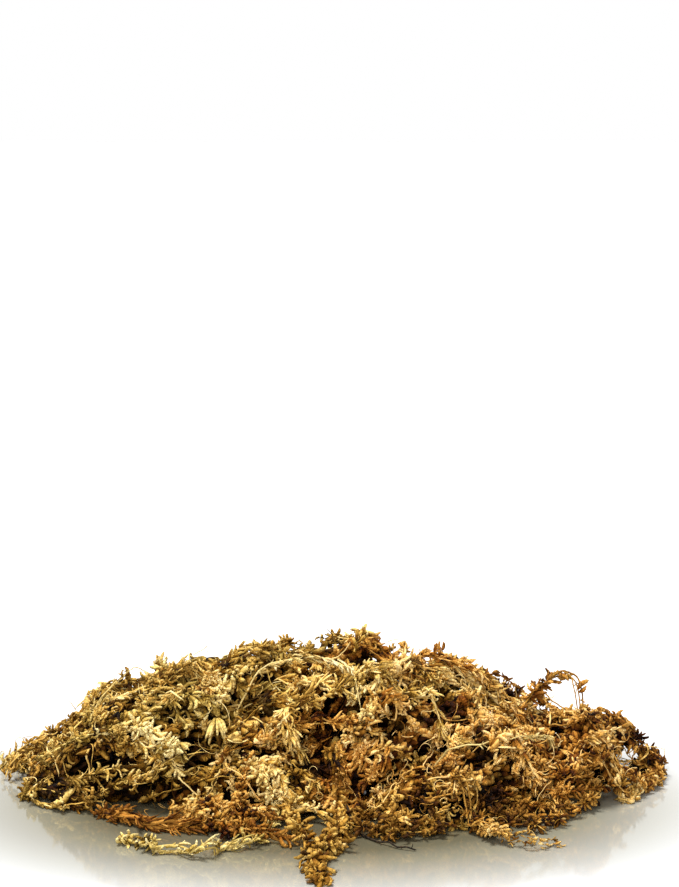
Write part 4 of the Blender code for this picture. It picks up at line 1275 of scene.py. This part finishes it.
def stem_finish(slot, pale, dark, roughness):
    """Smooth dry stem or thin bark, streaked along its length."""
    material = bpy.data.materials.new(slot)
    material.use_nodes = True
    tree = material.node_tree
    shader = tree.nodes["Principled BSDF"]
    coords = tree.nodes.new("ShaderNodeTexCoord").outputs["Object"]
    streaks = add_node(tree, "ShaderNodeTexNoise", Vector=coords, Scale=700.0, Detail=4.0).outputs["Fac"]
    share = spread_value(tree, streaks, 0.35, 0.65, 0.0, 1.0)
    colour = ramp(tree, share, [dark, dark, dark, pale, pale, pale])
    tree.links.new(colour, shader.inputs["Base Color"])
    bump = add_node(tree, "ShaderNodeBump", Height=streaks, Strength=0.5, Distance=0.0002)
    tree.links.new(bump.outputs["Normal"], shader.inputs["Normal"])
    shader.inputs["Roughness"].default_value = roughness
    shader.inputs["Specular IOR Level"].default_value = 0.15
    return material


def finish_for(slot):
    if slot not in FINISHES:
        if slot == "twig":
            FINISHES[slot] = stem_finish(slot, (0.040, 0.024, 0.012), (0.012, 0.008, 0.005), 0.8)
        else:
            FINISHES[slot] = moss_finish(slot)
    return FINISHES[slot]


# ------------------------------------------------------------------ single strands
# Habits of the shoots wound together, tone, warmth, where its heads sit along it, size of the branches, turns,
# stem and kinks in mm.
STRANDS = {
    "looped_strand_right_end": (["curled", "plump", "curled"], 0.36, 1.0, (0.55, 0.68, 0.8, 0.9, 1.0), 1.0, 3, 0.35, 0.3),
    "crossing_strand_top_right": (["rope", "worms"], 0.58, 0.4, (1.0,), 0.9, 3, 0.35, 0.5),
    "crossing_strand_top_left": (["rope", "worms"], 0.62, 0.0, (0.7, 1.0), 0.95, 3, 0.35, 0.5),
    "crossing_strand_centre": (["rope", "stringy"], 0.70, 0.0, (1.0,), 0.9, 3, 0.35, 0.5),
    "hooked_strand_left_tip": (["curled", "rope"], 0.58, 0.2, (0.4, 0.7, 1.0), 0.9, 2, 0.35, 0.3),
    "hanging_strand_front": (["plump", "curled", "worms"], 0.52, 0.20,
                             (0.45, 0.58, 0.68, 0.76, 0.84, 0.92, 0.97, 1.0), 1.25, 3, 0.35, 0.4),
    "trailing_strand_front_left": (["sheath", "sheath", "sheath"], 0.34, 1.0, (0.0, 0.03, 0.08, 0.14), 0.95, 2, 1.05, 0.3),
    "pale_strand_front_left": (["crinkled", "scant"], 0.80, 0.05, (0.0, 0.12, 0.95), 1.1, 3, 0.50, 1.5),
    "trailing_tuft_front_right": (["curled", "crinkled"], 0.68, -0.2, (0.28, 0.36, 0.44, 0.52), 1.0, 2, 0.40, 0.8),
}
STRAND_POINTS = 40
STRAND_BENDS = 15
# Strands whose look changes on the way: the share of the length before that, then habit, tone and warmth.
FADES = {
    "trailing_strand_front_left": (0.62, "plump", 0.60, 0.0),
    "trailing_tuft_front_right": (0.62, "crinkled", 0.88, -0.4),
}


def lay_strand(name, habits, mean, warmth, heads, size, turns, stem, kink):
    """A strand of a few shoots wound round each other along one thin CAD piece."""
    lie = LIES[name]
    pile = Pile(name)
    chance = pile.chance
    t = np.linspace(0, 1, STRAND_POINTS)
    shared = np.stack([np.interp(t, np.linspace(0, 1, STRAND_BENDS), chance.normal(0, kink * MM, STRAND_BENDS))
                       for _ in range(3)], axis=1)
    for k, habit in enumerate(habits):
        turn = math.tau * (k / len(habits) + turns * t)
        path = lie.at(t, 0.5 * np.cos(turn) + wander(chance, t, 5, 0.3)[0], 0.5 * np.sin(turn))[None] + shared
        path[..., 2] = np.maximum(path[..., 2], 0.9 * MM)
        tone = np.array([mean + chance.normal(0, 0.05)])
        if name in FADES:
            share, later, later_tone, later_warmth = FADES[name]
            cut = int(share * STRAND_POINTS)
            clothe(pile, path[:, cut:], HABITS[later], np.array([later_tone]), np.array([later_warmth]), 0.3, False)
            path = path[:, :cut + 1]
        clothe(pile, path, HABITS[habit], tone, np.array([warmth]), 0.1, False, size, False)
        add_rods(pile, "smooth_stem", path, [stem * MM], tone + 0.1, np.array([warmth]))
    count = len(heads)
    spots = lie.at(np.array(heads), 0.0, 0.3)
    axes = chance.normal(0, 1, (count, 3)) + np.array([0, -0.3, 0.4])
    add_heads(pile, spots, axes, np.full(count, 4.6 * size * MM), np.full(count, mean + 0.04),
              np.full(count, float(warmth)), 16, False)
    spots = lie.at(chance.random(6), 0.0, 0.4)
    add_threads(pile, spots, np.tile([0, -0.2, 0.3], (6, 1)), mean + 0.25, 0.0, (5, 12), (0.09, 0.15))
    lay_chosen(pile, name)
    return finish_piece(pile, SLOT_OF[name], name)


# The arch at the right: where along it its line is moved, and by how much to the right and up, in millimetres.
ARCH_PLACES = [0.0, 0.2, 0.4, 0.6, 0.8, 1.0]
ARCH_RIGHT = [0, 0, -0.5, -1.5, -4.5, -7.0]
ARCH_UP = [0, 1.2, 2.2, 4.6, 2.4, -2.0]
# Its leafy parts: habit, tone, warmth, size, from and to along it.
ARCH_PARTS = [
    ("leafy", 0.38, 0.9, 0.85, 0.0, 0.16),
    ("spiky", 0.44, 0.9, 1.95, 0.20, 0.50),
    ("spiky", 0.36, 0.9, 1.75, 0.22, 0.48),
    ("spiky", 0.40, 0.9, 1.45, 0.24, 0.46),
    ("curled", 0.40, 0.9, 1.00, 0.26, 0.46),
    ("leafy", 0.46, -0.2, 0.95, 0.46, 0.60),
    ("spiky", 0.50, -0.6, 1.10, 0.46, 0.68),
    ("scant", 0.54, -0.9, 0.80, 0.68, 1.0),
]
ARCH_STEMS = [(0.0, 0.0, 0.34), (0.55, 0.5, 0.40), (-0.5, 0.9, 0.30)]
ARCH_STEMS_PART = 0.5


def lay_arch(name):
    """The arch at the right: a thin dark stem up to a tuft of brown leaves, and bare olive stems down."""
    lie = LIES[name]
    pile = Pile(name)
    chance = pile.chance

    def line(t, a, b):
        path = lie.at(t, a, b)
        path[:, 0] += np.interp(t, ARCH_PLACES, ARCH_RIGHT) * MM + wander(chance, t, 3, 0.25 * MM)[0]
        path[:, 2] += np.interp(t, ARCH_PLACES, ARCH_UP) * MM + wander(chance, t, 3, 0.25 * MM)[0]
        return path[None]

    whole = np.linspace(0, 1, STRAND_POINTS)
    right = np.linspace(ARCH_STEMS_PART, 1, STRAND_POINTS)
    for number, (a, b, radius) in enumerate(ARCH_STEMS):
        path = line(whole if number == 0 else right, a * 1.6, b)
        add_rods(pile, "smooth_stem", path, [radius * MM], np.array([0.50]), np.array([-0.9]), 0.1)
    for habit, tone, warmth, size, first, last in ARCH_PARTS:
        path = line(np.linspace(first, last, PATH_POINTS), 0.0, 0.0)
        clothe(pile, path, HABITS[habit], np.array([tone]), np.array([warmth]), 0.1, False, size, False)
    foot = line(np.array([0.84, 0.86, 0.88]), 0.0, 0.0)[0]
    heads = np.array([[0.5, -0.3, 0.9], [0.1, -0.4, 1.0], [0.7, -0.2, 0.6]])
    add_grains(pile, foot, heads, np.tile([1.0, 0, 0], (3, 1)), np.array([7.0, 6.0, 5.5]) * MM, np.full(3, 1.5),
               ["leafy"], np.full(3, 0.72), np.full(3, -0.4), False)
    return finish_piece(pile, SLOT_OF[name], name)


# Radius and kinks in millimetres, number of stubs, the share of its length with branches left on it, and their tone.
BARE = {
    "bare_stem_left": (0.34, 0.9, 14, (0.0, 0.16), 0.70),
    "bare_stem_centre": (0.38, 1.0, 14, (0.30, 0.85), 0.84),
    "bare_stem_right": (0.38, 0.9, 14, (0.72, 0.98), 0.60),
    "dark_twig_front": (0.52, 0.6, 5, None, 0.5),
}


def lay_bare(name, radius, kink, stubs, clothed, mean):
    """A thin kinked stem with a few stubs, and some branches left on a part of it."""
    lie = LIES[name]
    pile = Pile(name)
    chance = pile.chance
    t = np.linspace(0, 1, 60)
    bends = np.linspace(0, 1, 11)
    path = lie.at(t, 0.0, 0.0)
    for axis in range(3):
        kinks = np.where((bends > 0) & (bends < 1), chance.normal(0, kink * MM, len(bends)), 0)
        path[:, axis] += np.interp(t, bends, kinks)
    path[:, 2] = np.maximum(path[:, 2], 0.6 * MM)
    add_rods(pile, "smooth_stem", path[None], [radius * MM], np.array([mean]), np.array([0.0]), 0.45)
    place = chance.uniform(0.04, 1.0, (1, stubs)) * (len(path) - 1)
    spots = read_paths(path[None], place)[0]
    ahead = unit(read_paths(path[None], place + 1)[0] - read_paths(path[None], place - 1)[0])
    heads = unit(ahead + chance.normal(0, 0.7, (stubs, 3)))
    add_grains(pile, spots, heads, chance.normal(0, 1, (stubs, 3)), chance.uniform(1.6, 4.2, stubs) * MM,
               np.full(stubs, 0.75), ["slender", "crooked", "hooked"], np.full(stubs, mean), np.zeros(stubs), False)
    if clothed:
        part = path[int(clothed[0] * 59):int(clothed[1] * 59) + 1][None]
        clothe(pile, part, HABITS["stringy"], np.array([mean]), np.array([0.0]), 0.2, False, 0.8, False)
    return finish_piece(pile, SLOT_OF[name], name)


# ------------------------------------------------------------------ settings
def colour_setting(name, slot):
    """A colour that a user can change, with the usual colour of that kind of moss."""
    return bpy.props.FloatVectorProperty(
        name=name, description=f"Middle colour of the {name.lower()}", subtype="COLOR", size=3,
        default=MOSS_COLOURS[slot], min=0, max=1)


class MossColourSettings(bpy.types.PropertyGroup):
    """The middle colour of each kind of moss."""

    bare_stem: colour_setting("Bare stems", "bare_stem")
    straw_moss: colour_setting("Straw moss", "straw_moss")
    ochre_moss: colour_setting("Ochre moss", "ochre_moss")
    rust_moss: colour_setting("Rusty moss", "rust_moss")
    brown_moss: colour_setting("Brown moss", "brown_moss")
    olive_moss: colour_setting("Olive moss", "olive_moss")
    cream_moss: colour_setting("Cream moss", "cream_moss")


class MossSizeSettings(bpy.types.PropertyGroup):
    """The sizes of the moss plants."""

    branch_length: bpy.props.FloatProperty(
        name="Branch length", description="Length of a usual branch", unit="LENGTH", precision=5,
        default=USUAL_LENGTH, min=0.001, max=0.02)
    branch_thickness: bpy.props.FloatProperty(
        name="Branch thickness", description="Thickness of a usual branch", unit="LENGTH", precision=5,
        default=USUAL_THICKNESS, min=0.0002, max=0.006)
    stem_thickness: bpy.props.FloatProperty(
        name="Stem thickness", description="Thickness of a usual stem", unit="LENGTH", precision=5,
        default=USUAL_STEM, min=0.0001, max=0.004)
    thread_thickness: bpy.props.FloatProperty(
        name="Thread thickness", description="Thickness of a usual loose thread", unit="LENGTH", precision=5,
        default=USUAL_THREAD, min=0.00005, max=0.002)


class MossStageSettings(bpy.types.PropertyGroup):
    """The floor and the lights."""

    floor_colour: bpy.props.FloatVectorProperty(
        name="Floor colour", description="Colour of the plain pale floor", subtype="COLOR", size=3,
        default=(0.92, 0.92, 0.92), min=0, max=1)
    floor_size: bpy.props.FloatProperty(
        name="Floor size", description="Side of the square floor", unit="LENGTH", default=60.0, min=0.5)
    sky_strength: bpy.props.FloatProperty(
        name="Surrounding light", description="Strength of the white surroundings", default=0.18, min=0)
    key_strength: bpy.props.FloatProperty(
        name="Key light", description="Strength of the soft light above", default=4.7, min=0)
    front_strength: bpy.props.FloatProperty(
        name="Front light", description="Strength of the soft light in front", default=1.7, min=0)
    fill_strength: bpy.props.FloatProperty(
        name="Fill light", description="Strength of the soft light from the right", default=0.5, min=0)


CAMERA_PLACE = (0.002584, -0.681010, 0.263214)
CAMERA_TILT = math.radians(80)
SENSOR_HEIGHT = 24.0
FOCAL_PIXELS = 1800.0
PICTURE_HEIGHT = 887.0


# The painted shadow and painted reflection of the moss round the heap: its half width and half depth, then its colours
# from the heap outwards.
FLOOR_SHADOW_MIDDLE = (-0.008, 0.0, 0.0)
FLOOR_SHADOW_ZONE = (0.145, 0.085, 1.0)
FLOOR_SHADOW_STEPS = [(0.25, (0.11, 0.096, 0.057)), (0.32, (0.136, 0.122, 0.076)), (0.39, (0.26, 0.245, 0.18)),
               (0.435, (0.326, 0.315, 0.266)), (0.49, (0.435, 0.43, 0.39)), (0.54, (0.54, 0.54, 0.52)),
               (0.60, (0.76, 0.76, 0.76)), (0.75, (1.0, 1.0, 1.0))]


def floor_finish(colour):
    """A glossy pale table top with a painted shadow and painted reflection of the moss round the heap, getting white
    away from it.
    """
    material = bpy.data.materials.new("pale_floor_painted_shadow")
    material.use_nodes = True
    tree = material.node_tree
    shader = tree.nodes["Principled BSDF"]
    coords = tree.nodes.new("ShaderNodeTexCoord").outputs["Object"]
    moved = add_node(tree, "ShaderNodeVectorMath", i0=coords, i1=FLOOR_SHADOW_MIDDLE)
    moved.operation = "SUBTRACT"
    scaled = add_node(tree, "ShaderNodeVectorMath", i0=moved.outputs[0], i1=FLOOR_SHADOW_ZONE)
    scaled.operation = "DIVIDE"
    apart = add_node(tree, "ShaderNodeVectorMath", i0=scaled.outputs[0])
    apart.operation = "LENGTH"
    # Painted shadow and painted reflection of the moss, darkest at the heap and white further off.
    node = add_node(tree, "ShaderNodeValToRGB", Fac=maths(tree, "MULTIPLY", apart.outputs["Value"], 0.5))
    steps = node.color_ramp.elements
    for place, share in FLOOR_SHADOW_STEPS[1:-1]:
        steps.new(place).color = (*(a * b for a, b in zip(share, colour)), 1)
    steps[0].position = FLOOR_SHADOW_STEPS[0][0]
    steps[0].color = (*(a * b for a, b in zip(FLOOR_SHADOW_STEPS[0][1], colour)), 1)
    steps[-1].position = FLOOR_SHADOW_STEPS[-1][0]
    steps[-1].color = (*colour, 1)
    tree.links.new(node.outputs["Color"], shader.inputs["Base Color"])
    noise = add_node(tree, "ShaderNodeTexNoise", Vector=coords, Scale=30.0, Detail=3.0).outputs["Fac"]
    tree.links.new(spread_value(tree, noise, 0.3, 0.7, 0.07, 0.09), shader.inputs["Roughness"])
    shader.inputs["IOR"].default_value = 1.75
    return material


class MOSS_OT_stage(bpy.types.Operator):
    """Add the floor, the lights, the surroundings and the camera"""

    bl_idname = "moss.stage"
    bl_label = "Stage"

    def execute(self, context):
        settings = context.scene.moss_stage
        bpy.ops.object.select_all(action="DESELECT")
        bpy.ops.mesh.primitive_plane_add(size=settings.floor_size, location=(0, 0, 0))
        floor = context.object
        floor.name = "floor"
        floor.data.materials.append(floor_finish(tuple(settings.floor_colour)))
        world = bpy.data.worlds.new("white_surroundings")
        world.use_nodes = True
        tree = world.node_tree
        background = tree.nodes["Background"]
        background.inputs["Color"].default_value = (1, 1, 1, 1)
        rays = tree.nodes.new("ShaderNodeLightPath")
        seen = maths(tree, "MAXIMUM", rays.outputs["Is Camera Ray"], rays.outputs["Is Glossy Ray"])
        tree.links.new(spread_value(tree, seen, 0.0, 1.0, settings.sky_strength, 1.0), background.inputs["Strength"])
        context.scene.world = world
        lights = [
            ("key_light", (-0.20, 0.06, 0.95), settings.key_strength, 20.0),
            ("front_light", (-0.25, -0.90, 0.60), settings.front_strength, 30.0),
            ("fill_light", (0.9, -0.4, 0.7), settings.fill_strength, 40.0),
        ]
        for name, place, strength, softness in lights:
            bpy.ops.object.light_add(type="SUN", location=place)
            light = context.object
            light.name = name
            light.data.energy = strength
            light.data.angle = math.radians(softness)
            light.rotation_euler = Vector(place).to_track_quat("Z", "Y").to_euler()
        bpy.ops.object.camera_add(location=CAMERA_PLACE, rotation=(CAMERA_TILT, 0, 0))
        camera = context.object
        camera.data.sensor_fit = "VERTICAL"
        camera.data.sensor_height = SENSOR_HEIGHT
        camera.data.lens = SENSOR_HEIGHT * FOCAL_PIXELS / PICTURE_HEIGHT
        camera.data.clip_start = 0.01
        context.scene.camera = camera
        context.scene.view_settings.view_transform = "Standard"
        return {"FINISHED"}


class MOSS_OT_shapes(bpy.types.Operator):
    """Model the branches and rods that every piece copies"""

    bl_idname = "moss.shapes"
    bl_label = "Branch shapes"

    def execute(self, context):
        model_shapes()
        return {"FINISHED"}


def lay_layer(layer):
    """All the tufts of one layer."""
    for name in sorted(LIES):
        if name.startswith(layer + "_tuft_"):
            lay_tuft(name)


class MOSS_OT_base_tufts(bpy.types.Operator):
    """Lay the tufts that rest on the floor"""

    bl_idname = "moss.base_tufts"
    bl_label = "Base tufts"

    def execute(self, context):
        lay_layer("base")
        return {"FINISHED"}


class MOSS_OT_lower_tufts(bpy.types.Operator):
    """Lay the lower tufts"""

    bl_idname = "moss.lower_tufts"
    bl_label = "Lower tufts"

    def execute(self, context):
        lay_layer("lower")
        return {"FINISHED"}


class MOSS_OT_middle_tufts(bpy.types.Operator):
    """Lay the middle tufts"""

    bl_idname = "moss.middle_tufts"
    bl_label = "Middle tufts"

    def execute(self, context):
        lay_layer("middle")
        return {"FINISHED"}


class MOSS_OT_upper_tufts(bpy.types.Operator):
    """Lay the tufts on top of the heap"""

    bl_idname = "moss.upper_tufts"
    bl_label = "Upper tufts"

    def execute(self, context):
        lay_layer("upper")
        return {"FINISHED"}


class MOSS_OT_strands(bpy.types.Operator):
    """Lay the single strands that stand apart from the heap"""

    bl_idname = "moss.strands"
    bl_label = "Single strands"

    def execute(self, context):
        for name, looks in STRANDS.items():
            lay_strand(name, *looks)
        lay_arch("arched_strand_right")
        return {"FINISHED"}


class MOSS_OT_bare_stems(bpy.types.Operator):
    """Lay the bare stems and the twig"""

    bl_idname = "moss.bare_stems"
    bl_label = "Bare stems and twig"

    def execute(self, context):
        for name, looks in BARE.items():
            lay_bare(name, *looks)
        return {"FINISHED"}


STEPS = (MOSS_OT_stage, MOSS_OT_shapes, MOSS_OT_base_tufts, MOSS_OT_lower_tufts, MOSS_OT_middle_tufts,
         MOSS_OT_upper_tufts, MOSS_OT_strands, MOSS_OT_bare_stems)


class MOSS_PT_panel(bpy.types.Panel):
    """The steps that make the clump, in order"""

    bl_idname = "MOSS_PT_panel"
    bl_label = "Sphagnum moss clump"
    bl_space_type = "VIEW_3D"
    bl_region_type = "UI"
    bl_category = "Moss"

    def draw(self, context):
        for step in STEPS:
            self.layout.operator(step.bl_idname)
        for name, settings in SETTINGS.items():
            for field in settings.__annotations__:
                self.layout.prop(getattr(context.scene, name), field)


SETTINGS = {"moss_stage": MossStageSettings, "moss_sizes": MossSizeSettings, "moss_colours": MossColourSettings}
CLASSES = (*SETTINGS.values(), *STEPS, MOSS_PT_panel)


def register():
    for each in CLASSES:
        bpy.utils.register_class(each)
    for name, settings in SETTINGS.items():
        setattr(bpy.types.Scene, name, bpy.props.PointerProperty(type=settings))


def unregister():
    for name in SETTINGS:
        delattr(bpy.types.Scene, name)
    for each in reversed(CLASSES):
        bpy.utils.unregister_class(each)


def main():
    register()
    for step in STEPS:
        group, name = step.bl_idname.split(".")
        getattr(getattr(bpy.ops, group), name)()
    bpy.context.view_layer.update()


if __name__ == "__main__":
    main()
